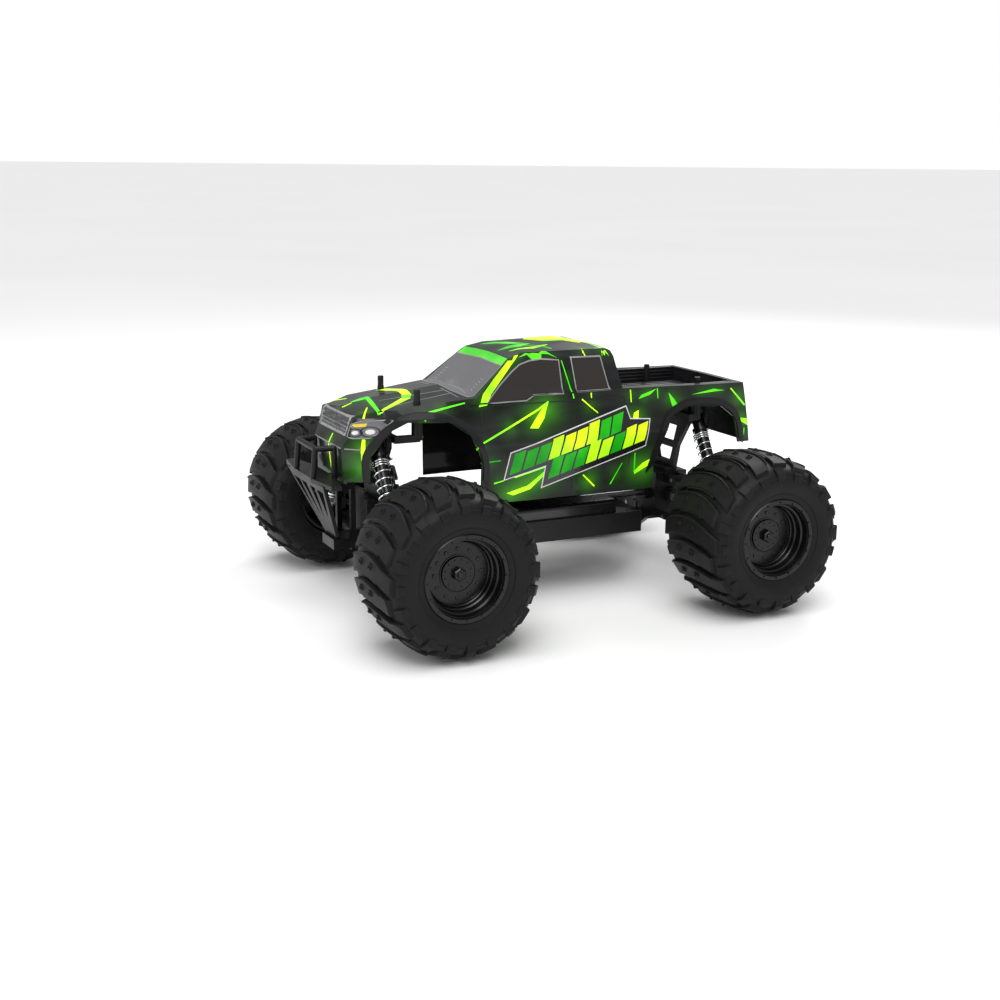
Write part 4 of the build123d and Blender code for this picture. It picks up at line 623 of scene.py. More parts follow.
@dataclass
class Tyre:
    """Wide off-road tyre with arched lugs, studs and shoulder blocks, modelled about the Y axis."""

    tread_radius: float = 43.9
    outer_radius: float = 47.5
    half_width: float = 29.5
    steps: int = 120
    lug_count: int = 20
    lug_width: float = 11.2
    lug_reach: float = 25.5
    lug_arch: float = 6.5
    lug_height: float = 2.2
    lug_lengths: Point2 = (55.0, 47.0)
    shoulders: tuple[tuple[float, float, float], ...] = ((31.0, 5.0, 1.6), (29.0, 8.5, 2.0))
    ridge_height: float = 3.1
    heel_height: float = 1.9
    draft: float = 0.93
    edge: float = 0.35
    stud_places: Point2 = (-7.5, 5.5)
    stud_tiers: tuple[tuple[float, float, float], ...] = ((2.1, 1.8, 2.85), (1.0, 2.4, 3.6))
    bead_lines: tuple[Point2, ...] = ((28.4, 36.9), (28.0, 27.4))
    bead_section: tuple[Point2, ...] = ((-0.5, -0.7), (0.55, -0.25), (0.55, 0.25), (-0.5, 0.7))
    half_section: tuple[Point2, ...] = (
        (0, 43.9), (9, 43.7), (17, 43.0), (23, 41.9), (26.8, 39.8), (28.9, 36.4), (29.4, 32.6),
        (28.8, 28.8), (27.6, 25.9), (26.9, 24.1))
    inner_section: tuple[Point2, ...] = (
        (24.9, 24.0), (24.6, 26.5), (26.6, 30.0), (27.0, 33.5), (26.2, 36.8), (21.5, 39.6), (12.0, 40.8))
    inner_crown: float = 41.0
    outer: list[Point2] = field(default_factory=list)

    def __post_init__(self) -> None:
        """Work out the outer curve from one shoulder to the other."""
        mirrored = [(-y, r) for y, r in reversed(self.half_section[1:])]
        self.outer = flowing(mirrored + list(self.half_section))

    def carcass(self, bm: Mesh) -> None:
        """Spin the casing, which is hollow and has thick beads, and the lines on its walls.

        Args:
            bm: mesh that receives them.
        """
        inner = list(self.inner_section)
        inside = flowing(inner + [(0, self.inner_crown)] + [(-y, r) for y, r in reversed(inner)])
        lathe(bm, self.outer + inside, steps=self.steps, closed=True)
        for side in (-1, 1):
            for across, radius in self.bead_lines:
                ring = [(side * (across + out), radius + up) for out, up in self.bead_section]
                lathe(bm, ring, steps=self.steps, closed=True)

    def wrap(self, bm: Mesh, verts: list[bmesh.types.BMVert], angle: float) -> None:
        """Bend flat geometry (across, around, height) on to the casing.

        Args:
            bm: mesh that holds the vertices; not used.
            verts: vertices to move.
            angle: where round the tyre they go, in radians.
        """
        half = sum((Vector(b) - Vector(a)).length for a, b in zip(self.outer, self.outer[1:])) / 2
        for vert in verts:
            across, around, height = vert.co
            point, normal = along(self.outer, (across + half) / (2 * half))
            turn = angle + around / self.tread_radius
            radius = min(point.y + normal.y * height, self.outer_radius)
            beside = max(-self.half_width, min(self.half_width, point.x + normal.x * height))
            vert.co = (radius * math.cos(turn), beside, radius * math.sin(turn))

    def block(self, bm: Mesh, angle: float, shape: Block) -> None:
        """Add one raised rubber block.

        Args:
            bm: mesh that receives it.
            angle: where round the tyre it stands.
            shape: its place, size and form.
        """
        part = bmesh.new()
        bmesh.ops.create_grid(part, x_segments=shape.cells, y_segments=1, size=0.5)
        bottom = part.faces[:]
        made = bmesh.ops.extrude_face_region(part, geom=bottom, use_keep_orig=True)["geom"]
        top = {item for item in made if isinstance(item, bmesh.types.BMVert)}
        for vert in part.verts:
            draft = self.draft if vert in top else 1.0
            across = shape.centre[0] + vert.co.x * shape.size[0] * draft
            narrow = 1 - shape.lean * (2 * vert.co.x) ** 2
            around = shape.centre[1] + vert.co.y * shape.size[1] * draft * narrow
            around += shape.arch * (1 - (across / self.lug_reach) ** 2)
            vert.co = (across, around, shape.height if vert in top else shape.base)
        bmesh.ops.recalc_face_normals(part, faces=part.faces)
        bevel_sharp(part, self.edge, 1, 50)
        self.wrap(part, part.verts[:], angle)
        bmesh.ops.recalc_face_normals(part, faces=part.faces)
        self.absorb(bm, part)

    def stud(self, bm: Mesh, angle: float, across: float) -> None:
        """Add a round ringed stud on a lug.

        Args:
            bm: mesh that receives it.
            angle: where round the tyre its lug stands.
            across: its distance from the centre line.
        """
        around = self.lug_arch * (1 - (across / self.lug_reach) ** 2)
        for radius, low, high in self.stud_tiers:
            part = bmesh.new()
            place = Matrix.Translation((across, around, (low + high) / 2))
            bmesh.ops.create_cone(part, cap_ends=True, segments=10, radius1=radius, radius2=radius * 0.8,
                                  depth=high - low, matrix=place)
            self.wrap(part, part.verts[:], angle)
            self.absorb(bm, part)

    @staticmethod
    def absorb(bm: Mesh, part: Mesh) -> None:
        """Copy a small mesh into a larger one and free it.

        Args:
            bm: mesh that receives it.
            part: small mesh.
        """
        holder = bpy.data.meshes.new("block")
        part.to_mesh(holder)
        part.free()
        bm.from_mesh(holder)
        bpy.data.meshes.remove(holder)

    def blocks(self, long: bool) -> list[Block]:
        """Blocks of one lug and of its shoulders.

        Args:
            long: whether the lug is one of the longer ones.

        Returns:
            The lug, its raised ridge, its heel and a block on each shoulder.
        """
        kind = 0 if long else 1
        length, arch = self.lug_lengths[kind], self.lug_arch
        ahead, behind = (0, self.lug_width * 0.41), (0, -self.lug_width * 0.5)
        place, wide, height = self.shoulders[kind]
        lug = [
            Block((length, self.lug_width), self.lug_height, arch=arch, lean=0.12),
            Block((length * 0.8, 1.0), self.ridge_height, ahead, arch, base=1.5),
            Block((length * 0.5, 1.8), self.heel_height, behind, arch, cells=8)]
        return lug + [Block((wide, 6.4), height, (side * place, -2.0), cells=2) for side in (-1, 1)]

    def build(self, name: str, centre: Vector, surface: Material) -> Piece:
        """Make one tyre.

        Args:
            name: piece's name.
            centre: wheel centre in millimetres.
            surface: rubber.

        Returns:
            The tyre.
        """
        bm = bmesh.new()
        self.carcass(bm)
        for k in range(self.lug_count):
            angle = math.tau * k / self.lug_count
            for shape in self.blocks(k % 2 == 0):
                self.block(bm, angle, shape)
            for across in self.stud_places:
                self.stud(bm, angle, across)
        bmesh.ops.translate(bm, vec=centre, verts=bm.verts)
        return finish_mesh(bm, name, surface, sharp=32)


@dataclass(frozen=True)
class Boss:
    """Ring of round or hexagonal heads on the rim's face."""

    count: int
    circle: float
    face: float
    radius: float
    height: float
    sides: int
    shift: float = 0.0


@dataclass
class Rim:
    """Deep-dish rim with a bolted bead ring, stepped dish, drilled hub plate and wheel nut."""

    steps: int = 96
    section: tuple[Point2, ...] = (
        (-24.0, 21.4), (-24.0, 23.0), (-22.5, 23.6), (-21.0, 22.8), (24.4, 22.8), (24.6, 24.3),
        (26.8, 24.3), (27.5, 23.6), (27.5, 21.5), (26.4, 21.0), (25.6, 20.6), (22.8, 20.2), (22.2, 19.3),
        (18.4, 19.0), (17.8, 18.3), (15.6, 17.9), (15.0, 17.2), (14.5, 16.6), (14.5, 9.6), (15.6, 9.2),
        (15.6, 3.2), (11.6, 3.2), (11.6, 19.8), (-22.5, 20.6))
    ridges: tuple[tuple[float, float, float], ...] = (
        (20.9, 26.0, 0.3), (17.0, 15.2, 0.35), (10.2, 14.7, 0.4))
    ridge_root: float = 0.8
    ridge_height: float = 0.25
    bead_bolts: Boss = Boss(16, 22.3, 27.65, 0.62, 1.0, 6)
    plate_holes: Boss = Boss(12, 13.4, 14.65, 1.15, 0.7, 14)
    hub_rivets: Boss = Boss(12, 7.6, 15.75, 0.55, 0.5, 8, 0.5)
    wheel_nut: Boss = Boss(1, 0.0, 16.8, 3.95, 3.6, 6)
    axle_end: Boss = Boss(1, 0.0, 17.8, 1.9, 3.2, 20)

    def build(self, name: str, centre: Vector, outward: int, surface: Material) -> Piece:
        """Make one rim.

        Args:
            name: piece's name.
            centre: wheel centre in millimetres.
            outward: +1 on the left, -1 on the right.
            surface: plastic.

        Returns:
            The rim.
        """
        bm = bmesh.new()
        lathe(bm, list(self.section), steps=self.steps, closed=True)
        for radius, face, wide in self.ridges:
            root, crest = face - self.ridge_root, face + self.ridge_height
            lathe(bm, [(root, radius - wide), (crest, radius - wide / 2), (crest, radius + wide / 2),
                       (root, radius + wide)], steps=self.steps, closed=True)
        for boss in (self.bead_bolts, self.plate_holes, self.hub_rivets, self.wheel_nut, self.axle_end):
            self.heads(bm, boss)
        bmesh.ops.recalc_face_normals(bm, faces=bm.faces)
        if outward < 0:
            bmesh.ops.rotate(bm, cent=(0, 0, 0), matrix=Matrix.Rotation(math.pi, 3, "Z"), verts=bm.verts)
        bmesh.ops.translate(bm, vec=centre, verts=bm.verts)
        return finish_mesh(bm, name, surface, sharp=28)

    @staticmethod
    def heads(bm: Mesh, boss: Boss) -> None:
        """Add one ring of small heads that face outwards.

        Args:
            bm: mesh that receives them.
            boss: their number, places and size.
        """
        along_y = Matrix.Rotation(math.radians(-90), 4, "X")
        for k in range(boss.count):
            turn = math.tau * (k + boss.shift) / boss.count
            middle = (boss.circle * math.cos(turn), boss.face, boss.circle * math.sin(turn))
            made = bmesh.ops.create_cone(
                bm, cap_ends=True, segments=boss.sides, radius1=boss.radius, radius2=boss.radius * 0.92,
                depth=boss.height, matrix=Matrix.Translation(middle) @ along_y)["verts"]
            rims = {edge for vert in made for edge in vert.link_edges if edge.calc_face_angle(0) > 1.2}
            bmesh.ops.bevel(bm, geom=list(rims), offset=boss.radius * 0.12, segments=1, profile=0.5,
                            affect="EDGES", material=-1, clamp_overlap=True)


@dataclass
class Spring:
    """Chrome coil spring, wound closer at its top."""

    mean_radius: float = 4.6
    wire_radius: float = 0.55
    runs: tuple[tuple[float, float], ...] = ((2.5, 1.35), (8.6, 4.45), (1.6, 1.3))
    steps_per_turn: int = 20

    def build(self, name: str, top: Vector, foot: Vector, surface: Material) -> Piece:
        """Make one spring between two seats.

        Args:
            name: piece's name.
            top: middle of the upper seat.
            foot: middle of the lower seat.
            surface: chrome.

        Returns:
            The spring.
        """
        bm = bmesh.new()
        place = Matrix.Translation((self.mean_radius, 0, 0)) @ Matrix.Rotation(math.radians(90), 4, "X")
        ring = bmesh.ops.create_circle(bm, segments=8, radius=self.wire_radius, matrix=place)["verts"]
        natural = sum(turns * pitch for turns, pitch in self.runs)
        stretch = (foot - top).length / natural
        geometry: list[bmesh.types.BMVert | bmesh.types.BMEdge] = list(ring)
        geometry += list({edge for vert in ring for edge in vert.link_edges})
        for turns, pitch in self.runs:
            steps = round(turns * self.steps_per_turn)
            rise = pitch * stretch * turns / steps
            made = bmesh.ops.spin(bm, geom=geometry, cent=(0, 0, 0), axis=(0, 0, 1), angle=math.tau * turns,
                                  dvec=(0, 0, rise), steps=steps)
            geometry = made["geom_last"]
        bmesh.ops.holes_fill(bm, edges=[edge for edge in bm.edges if edge.is_boundary], sides=0)
        bmesh.ops.recalc_face_normals(bm, faces=bm.faces)
        turn = (foot - top).to_track_quat("Z", "Y").to_matrix()
        bmesh.ops.rotate(bm, cent=(0, 0, 0), matrix=turn, verts=bm.verts)
        bmesh.ops.translate(bm, vec=top, verts=bm.verts)
        return finish_mesh(bm, name, surface, sharp=80)


# ------------------------------------------------------------------------------------------
# Body shell and what is printed on it
# ------------------------------------------------------------------------------------------
@dataclass
class Press:
    """Presses flat outlines on to the body shell as thin raised pieces."""

    tree: BVHTree
    ceiling: float = CAD_BOX[1][2] / MM
    cell: float = 3.0
    beyond: float = 12.0
    tilt: float = 0.3
    sink: float = 0.25
    depth: dict[View, float] = field(default_factory=lambda: {
        View.LEFT: 26.0, View.RIGHT: 26.0, View.TOP: 100.0, View.FRONT: 100.0, View.REAR: 36.0})

    def land(self, start: Vector, view: View) -> tuple[Vector, Vector]:
        """Where a point lands on the shell, seen from one direction.

        Args:
            start: point outside the body.
            view: direction that it comes from.

        Returns:
            The place and the surface's outward normal there.
        """
        outward = Vector(view.value)
        place, normal, _, _ = self.tree.ray_cast(start, -outward)
        if place is None or place.dot(outward) < self.depth[view]:
            near = start + outward * (self.depth[view] + self.beyond - start.dot(outward))
            place, normal, _, _ = self.tree.find_nearest(near)
        if normal.dot(outward) < 0:
            normal = -normal
        return place, normal

    def add(self, bm: Mesh, outline: list[Point2], view: View, lift: float,
            hole: list[Point2] | None = None) -> None:
        """Add one outline as a thin piece that follows the shell.

        Args:
            bm: mesh that receives it.
            outline: corners in the view's own plane.
            view: direction that it is pressed from.
            lift: height of its face above the shell.
            hole: outline with as many corners, cut out of the middle.
        """
        part = bmesh.new()
        ring = [part.verts.new(view.place(point)) for point in outline]
        if hole is None:
            part.faces.new(ring)
        else:
            inner = [part.verts.new(view.place(point)) for point in hole]
            for k, vert in enumerate(ring):
                part.faces.new((vert, ring[k - 1], inner[k - 1], inner[k]))
        for axis in range(3):
            if view.value[axis] == 0:
                low = min(vert.co[axis] for vert in part.verts)
                high = max(vert.co[axis] for vert in part.verts)
                slice_evenly(part, axis, low, high, max(1, math.ceil((high - low) / self.cell)))
        bmesh.ops.triangulate(part, faces=part.faces[:])
        outward = Vector(view.value)
        for vert in part.verts:
            place, normal = self.land(vert.co, view)
            vert.co = place + (normal + outward * self.tilt).normalized() * lift
            vert.co.z = min(vert.co.z, self.ceiling)
        foot = bmesh.ops.extrude_face_region(part, geom=part.faces[:], use_keep_orig=True)["geom"]
        below = [item for item in foot if isinstance(item, bmesh.types.BMVert)]
        bmesh.ops.translate(part, vec=-outward * (lift + self.sink), verts=below)
        bmesh.ops.recalc_face_normals(part, faces=part.faces)
        Tyre.absorb(bm, part)

    def surface_line(self, start: Point2, stop: Point2, view: View,
                     steps: int = 4) -> list[tuple[Vector, Vector]]:
        """Points and normals of the shell under a straight line drawn in a view."""
        a, b = Vector(start), Vector(stop)
        return [self.land(view.place(tuple(a.lerp(b, k / steps))), view) for k in range(steps + 1)]


@dataclass(frozen=True)
class Streak:
    """One glowing streak: an outline on a view of the body, with its print and its glow."""

    view: View
    outline: tuple[Point2, ...]
    ink: Ink = Ink.LIME
    glow: float = 0.0
    reach: float = 4.5

    @classmethod
    def line(cls, view: View, start: Point2, stop: Point2, widths: Point2, *style: Ink | float) -> "Streak":
        """Straight streak; its style is the print, the glow and the glow's reach."""
        return cls(view, tuple(strip(start, stop, *widths)), *style)

    def spine(self) -> tuple[Point2, Point2]:
        """Straight line from the middle of one end to the middle of the other.

        Returns:
            Its two ends.
        """
        corners = [Vector(point) for point in self.outline]
        half = len(corners) // 2
        start = (corners[0] + corners[-1]) / 2
        stop = (corners[half - 1] + corners[half]) / 2
        return tuple(start), tuple(stop)


def flank_streaks(view: View) -> list[Streak]:
    """Streaks on one side of the body, mirrored for the other.

    Args:
        view: left or right.

    Returns:
        The streaks.
    """
    def shard(outline: tuple[Point2, ...], *style: Ink | float) -> Streak:
        """Make one pointed streak of this side."""
        return Streak(view, outline, *style)

    def line(start: Point2, stop: Point2, width: float, end_width: float, *style: Ink | float) -> Streak:
        """Make one straight streak of this side."""
        return Streak.line(view, start, stop, (width, end_width), *style)

    return [
        line((52.4, 99.5), (14.0, 117.0), 0.9, 1.1, Ink.LIME, 0.35),
        line((14.0, 117.0), (7.4, 121.2), 1.2, 0.7, Ink.LIME, 0.5),
        line((52.4, 99.5), (56.0, 95.5), 0.9, 0.6, Ink.LIME, 0.3),
        shard(((7.2, 121.4), (9.5, 119.8), (20.6, 106.8), (15.2, 106.4), (10.6, 112.0)),
              Ink.LIME, 1.0, 6.5),
        line((52.5, 88.6), (39.5, 89.4), 0.6, 0.4, Ink.GREEN, 0.2),
        shard(((33.0, 79.6), (10.4, 84.6), (10.6, 83.2), (30.0, 78.4)), Ink.LIME, 0.55),
        shard(((35.4, 69.6), (22.0, 73.2), (9.8, 81.8), (10.2, 79.6), (20.4, 70.9), (31.2, 68.0)),
              Ink.LIME, 1.0, 6.5),
        line((43.4, 76.0), (37.2, 77.3), 0.8, 0.4, Ink.LIME, 0.3),
        line((-15.0, 121.2), (-25.3, 112.6), 0.7, 0.5, Ink.LIME, 0.3),
        line((-14.7, 76.4), (-22.6, 68.9), 0.7, 0.9, Ink.LIME, 0.8),
        line((-41.2, 81.5), (-33.6, 69.1), 0.5, 0.7, Ink.GREEN, 0.3),
        shard(((-53.4, 112.4), (-50.0, 111.0), (-48.7, 106.2), (-52.2, 105.4)), Ink.LIME, 0.6),
        line((-50.1, 87.0), (-50.1, 75.0), 0.6, 0.9, Ink.GREEN, 0.5),
        shard(((-50.0, 75.6), (-50.4, 73.9), (-64.2, 80.4), (-65.4, 84.0), (-56.0, 80.2)),
              Ink.LIME, 1.0, 6.5),
        line((-49.0, 95.4), (-49.6, 92.2), 0.9, 0.5, Ink.GREEN, 0.2),
        line((-5.2, 143.6), (-9.6, 122.0), 0.5, 0.7, Ink.GREEN, 0.15),
        line((-21.5, 146.6), (-21.8, 151.2), 0.7, 0.5, Ink.LIME, 0.2),
        line((-21.3, 124.6), (-21.4, 121.6), 0.7, 0.5, Ink.LIME, 0.1),
        shard(((-33.2, 150.2), (-34.8, 146.6), (-37.6, 148.8), (-35.0, 144.9)), Ink.LIME, 0.2),
        shard(((-53.8, 119.0), (-56.0, 121.4), (-66.0, 124.3), (-62.0, 121.2)), Ink.GREEN, 0.3),
        shard(((-75.0, 121.6), (-78.6, 117.8), (-81.6, 113.6), (-79.8, 109.6), (-77.2, 114.0)),
              Ink.GREEN, 0.4),
        line((-48.2, 124.8), (-48.6, 117.4), 0.7, 0.5, Ink.LIME, 0.2),
        line((-67.0, 124.6), (-67.4, 118.6), 0.6, 0.4, Ink.GREEN, 0.2),
        line((-120.5, 121.6), (-133.0, 108.5), 0.7, 1.1, Ink.LIME, 0.5),
        shard(((-124.0, 103.0), (-134.0, 97.5), (-133.0, 102.0)), Ink.LIME, 0.6),
        line((-131.4, 96.0), (-131.0, 88.5), 0.9, 0.5, Ink.GREEN, 0.3),
        shard(((-92.0, 119.4), (-108.0, 122.0), (-116.0, 120.6), (-106.0, 120.2)), Ink.GREEN, 0.2),
        line((59.5, 123.2), (88.0, 117.6), 0.7, 1.1, Ink.GREEN, 0.25),
        line((88.0, 118.2), (82.6, 113.2), 1.3, 0.6, Ink.GREEN, 0.3),
        shard(((51.6, 120.6), (46.4, 121.2), (43.5, 127.0), (26.6, 143.8), (21.5, 147.6), (27.8, 146.6),
               (41.0, 134.6), (48.4, 127.4)), Ink.LIME, 0.25),
        shard(((22.0, 146.2), (12.0, 148.2), (2.0, 147.2), (-3.0, 144.9), (2.6, 148.6), (13.0, 149.6)),
              Ink.GREEN, 0.1),
    ]


def crown_streaks() -> list[Streak]:
    """Streaks on the bonnet, nose, roof and tail.

    Returns:
        The streaks.
    """
    top, front, rear, lime, green = View.TOP, View.FRONT, View.REAR, Ink.LIME, Ink.GREEN
    streaks = [
        Streak(top, ((88.5, -27.0), (83.4, -25.5), (78.4, -8.0), (80.6, 9.0), (85.6, 8.0), (83.6, -8.0)),
               lime, 0.3),
        Streak(top, ((86.4, 8.0), (80.4, 9.4), (83.0, 13.6), (88.6, 15.6)), green, 0.2),
        Streak(top, ((88.6, 13.4), (83.4, 15.6), (106.8, 31.0), (108.8, 30.2)), lime, 0.3),
        Streak(top, ((113.0, -1.4), (114.6, 0.4), (106.2, 2.2), (109.6, 30.6), (108.0, 31.2), (102.2, -4.6)),
               green, 0.2),
        Streak.line(front, (1.9, 104.3), (2.6, 92.0), (0.7, 1.1), lime, 0.5),
        Streak.line(front, (2.6, 92.0), (4.0, 80.6), (1.1, 0.5), lime, 0.4),
        Streak.line(front, (5.6, 99.0), (5.2, 82.0), (0.5, 0.4), green, 0.2),
        Streak.line(top, (121.0, 4.0), (114.5, 1.6), (0.9, 0.6), lime, 0.2),
        Streak(top, ((-2.0, -12.0), (-8.0, 4.0), (-26.0, 16.0), (-33.0, 10.0), (-28.0, -8.0), (-14.0, -18.0)),
               lime, 0.3),
        Streak(top, ((22.0, -22.0), (14.0, -6.0), (4.0, 4.0), (10.0, -10.0)), green, 0.2),
        Streak(top, ((24.0, 6.0), (12.0, 12.0), (2.0, 6.0), (10.0, 3.0)), green, 0.2),
        Streak(top, ((21.0, 16.0), (8.0, 22.0), (-4.0, 17.0), (7.0, 18.0)), lime, 0.1),
        Streak.line(top, (12.0, 3.0), (-3.0, 24.0), (0.6, 0.9), green, 0.1),
        Streak.line(top, (-30.0, 14.0), (-35.0, 27.0), (0.8, 0.5), lime, 0.1),
        Streak.line(rear, (0.0, 121.0), (-4.0, 96.0), (0.7, 1.2), lime, 0.5),
        Streak(rear, ((12.0, 118.0), (16.0, 110.0), (11.0, 98.0), (13.4, 110.0)), green, 0.4),
        Streak(rear, ((-16.0, 104.0), (-28.0, 96.0), (-24.0, 103.0)), lime, 0.5),
        Streak.line(rear, (24.0, 122.0), (20.0, 92.0), (0.5, 0.9), lime, 0.3),
    ]
    for side in (-1, 1):
        streaks += [
            Streak.line(front, (side * 30.6, 105.0), (side * 31.0, 96.0), (0.8, 1.4), lime, 0.7),
            Streak.line(front, (side * 31.0, 96.0), (side * 30.8, 83.0), (1.5, 0.8), lime, 1.0, 6.5),
            Streak.line(top, (117.5, side * 29.0), (110.8, side * 17.0), (1.2, 0.7), lime, 0.3),
        ]
    return streaks


@dataclass
class Shell:
    """Painted body shell with its windows, lamps, grille, ribs, arch lips and printed graphics."""

    body: str = "body_shell"
    grid: float = 2.2
    glow_peak: float = 0.62
    glow_fall: float = 1.3
    front_window: tuple[Point2, ...] = (
        (46.2, 122.6), (21.6, 123.0), (16.8, 125.8), (-2.6, 125.6), (-3.0, 143.6), (8.0, 144.6),
        (16.0, 144.0), (22.4, 142.2), (28.0, 138.6), (37.0, 131.4))
    rear_window: tuple[Point2, ...] = ((-12.6, 126.0), (-34.0, 126.2), (-31.2, 144.4), (-12.0, 144.6))
    front_arch: tuple[Point2, ...] = (
        (50.6, 79.0), (51.3, 90.6), (58.0, 105.0), (70.0, 113.0), (83.0, 115.2), (94.7, 114.2),
        (104.0, 110.0), (110.0, 103.0), (115.0, 95.0), (114.6, 82.0))
    rear_arch: tuple[Point2, ...] = (
        (-64.0, 79.0), (-70.0, 95.0), (-77.0, 107.5), (-88.6, 112.6), (-101.0, 113.0), (-113.4, 111.0),
        (-122.7, 104.0), (-127.4, 90.0))
    arch_bands: tuple[tuple[str, float, float, float], ...] = (
        ("arch_lips", 0.15, 3.4, 1.1), ("arch_edges", 3.3, 4.0, 0.5))
    door_lines: tuple[tuple[Point2, Point2], ...] = (
        ((-7.4, 121.0), (-6.6, 98.0)), ((-6.6, 98.0), (-7.4, 68.0)), ((50.4, 120.6), (51.2, 97.0)),
        ((-43.6, 121.0), (-46.0, 100.0)), ((-46.0, 100.0), (-46.0, 80.0)), ((50.0, 120.9), (-44.0, 120.9)))
    plate: tuple[Point2, ...] = (
        (36.8, 78.0), (33.2, 93.2), (-44.6, 115.0), (-46.8, 107.6), (-60.4, 106.6), (-57.0, 91.2),
        (12.6, 71.6), (10.4, 84.4))
    bar_rows: tuple[tuple[float, float, str], ...] = ((34.0, 80.3, "gggllllgg"), (9.0, 76.0, "gggllgll"))
    bar_width: float = 7.1
    bar_pitch: float = 8.3
    bar_rise: float = 0.283
    bar_lean: float = 3.2
    bar_heights: Point2 = (12.4, 11.2)
    grille: tuple[Point2, ...] = ((22.6, 116.4), (-22.6, 116.4), (-20.6, 106.6), (20.6, 106.6))
    grille_foot: float = 107.9
    grille_rows: int = 5
    grille_pitch: float = 2.1
    grille_cell: float = 0.95
    nose_crease: tuple[Point2, ...] = ((-30.5, 98.9), (30.5, 98.9), (30.5, 99.5), (-30.5, 99.5))
    headlamp: tuple[Point2, ...] = (
        (23.6, 106.6), (27.0, 105.6), (32.0, 106.0), (36.2, 110.4), (37.4, 116.0), (29.0, 115.0),
        (25.0, 112.6))
    lenses: tuple[tuple[float, float, float], ...] = ((27.6, 108.6, 2.0), (32.2, 109.4, 2.6))
    indicator: tuple[Point2, ...] = ((25.6, 111.6), (30.6, 112.2), (31.0, 114.2), (26.6, 113.4))
    brow: tuple[Point2, ...] = ((26.5, 116.2), (37.0, 117.0), (37.2, 116.4), (26.0, 115.2))
    screen_half: tuple[Point2, ...] = ((58.6, 16.0), (56.0, 33.6), (52.0, 34.2), (33.4, 30.8))
    screen_middle: Point2 = (59.2, 32.4)
    header: tuple[Point2, ...] = (
        (33.0, -30.9), (28.8, -29.6), (27.6, 0.0), (28.8, 29.6), (33.0, 30.9), (32.0, 0.0))
    wiper: tuple[Point2, ...] = (
        (55.4, 4.0), (53.0, 16.0), (54.6, 27.0), (54.0, 27.0), (52.2, 16.0), (54.8, 4.0))
    demister_lines: int = 5
    bonnet_creases: tuple[tuple[Point2, Point2], ...] = (
        ((104.0, 25.0), (60.0, 21.0)), ((101.0, 10.0), (62.0, 13.0)), ((60.5, 31.0), (61.5, 8.0)))
    back_window: tuple[Point2, ...] = ((-27.0, 127.0), (27.0, 127.0), (24.5, 144.0), (-24.5, 144.0))
    tailgate: tuple[Point2, ...] = ((-29.0, 96.0), (29.0, 96.0), (29.0, 121.0), (-29.0, 121.0))
    handle: tuple[Point2, ...] = ((-7.0, 112.6), (7.0, 112.6), (7.0, 116.0), (-7.0, 116.0))
    tail_lamp: tuple[Point2, ...] = ((31.4, 103.0), (38.4, 103.6), (38.8, 120.4), (31.4, 121.0))
    bed_ends: Point2 = (-49.5, -124.0)
    bed_floor: float = 116.0
    floor_rib_pitch: float = 5.0
    wall_rib_pitch: float = 2.2
    wall_rib_place: float = 34.3
    rib_edge: float = 0.25

    def skin(self) -> Mesh:
        """Merged copy of the shell's own form, in millimetres.

        Returns:
            The mesh.
        """
        bm = bmesh.new()
        bm.from_mesh(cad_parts[self.body].data)
        bmesh.ops.transform(bm, matrix=Matrix.Scale(1 / MM, 4), verts=bm.verts)
        bmesh.ops.remove_doubles(bm, verts=bm.verts, dist=0.002)
        return bm

    def paint(self, streaks: list[Streak], press: Press) -> Piece:
        """Make the painted skin, and store how strongly it glows at each point.

        Args:
            streaks: all the streaks.
            press: the press that lays them on the shell.

        Returns:
            The skin.
        """
        bm = self.skin()
        low = [min(vert.co[axis] for vert in bm.verts) for axis in range(3)]
        high = [max(vert.co[axis] for vert in bm.verts) for axis in range(3)]
        for axis in range(3):
            slice_evenly(bm, axis, low[axis], high[axis], math.ceil((high[axis] - low[axis]) / self.grid))
        bmesh.ops.triangulate(bm, faces=bm.faces[:])
        gentle = math.radians(18)
        soft = [vert for vert in bm.verts if all(
            len(edge.link_faces) == 2 and edge.calc_face_angle(0) < gentle for edge in vert.link_edges)]
        for _ in range(3):
            bmesh.ops.smooth_vert(bm, verts=soft, factor=0.5, use_axis_x=True, use_axis_y=True,
                                  use_axis_z=True)
        made = finish_mesh(bm, "painted_shell", SHELL_PAINT.material(), sharp=30)
        self.store_glow(made, [streak for streak in streaks if streak.glow > 0], press)
        return made

    def store_glow(self, skin: Piece, streaks: list[Streak], press: Press) -> None:
        """Write on the skin how near each point is to a glowing streak of its own side.

        Args:
            skin: the painted skin.
            streaks: the streaks that glow.
            press: the press that lays them on the shell.
        """
        count = len(skin.data.vertices)
        places, facing, strongest = np.empty(count * 3), np.empty(count * 3), np.zeros(count)
        skin.data.vertices.foreach_get("co", places)
        skin.data.vertices.foreach_get("normal", facing)
        places, facing = places.reshape(-1, 3) / MM, facing.reshape(-1, 3)
        for streak in streaks:
            points = press.surface_line(*streak.spine(), streak.view)
            for (a, normal), (b, _) in zip(points, points[1:]):
                run = np.array(b - a)
                offset = places - np.array(a)
                share = np.clip(offset @ run / max(run @ run, 1e-9), 0, 1)
                away = np.linalg.norm(offset - share[:, None] * run, axis=1)
                fall = np.exp(-(away / streak.reach) ** self.glow_fall) * (facing @ np.array(normal) > 0.2)
                strongest = np.maximum(strongest, self.glow_peak * streak.glow * fall)
        glow = skin.data.attributes.new("glow", "FLOAT", "POINT")
        glow.data.foreach_set("value", strongest.astype(np.float32))

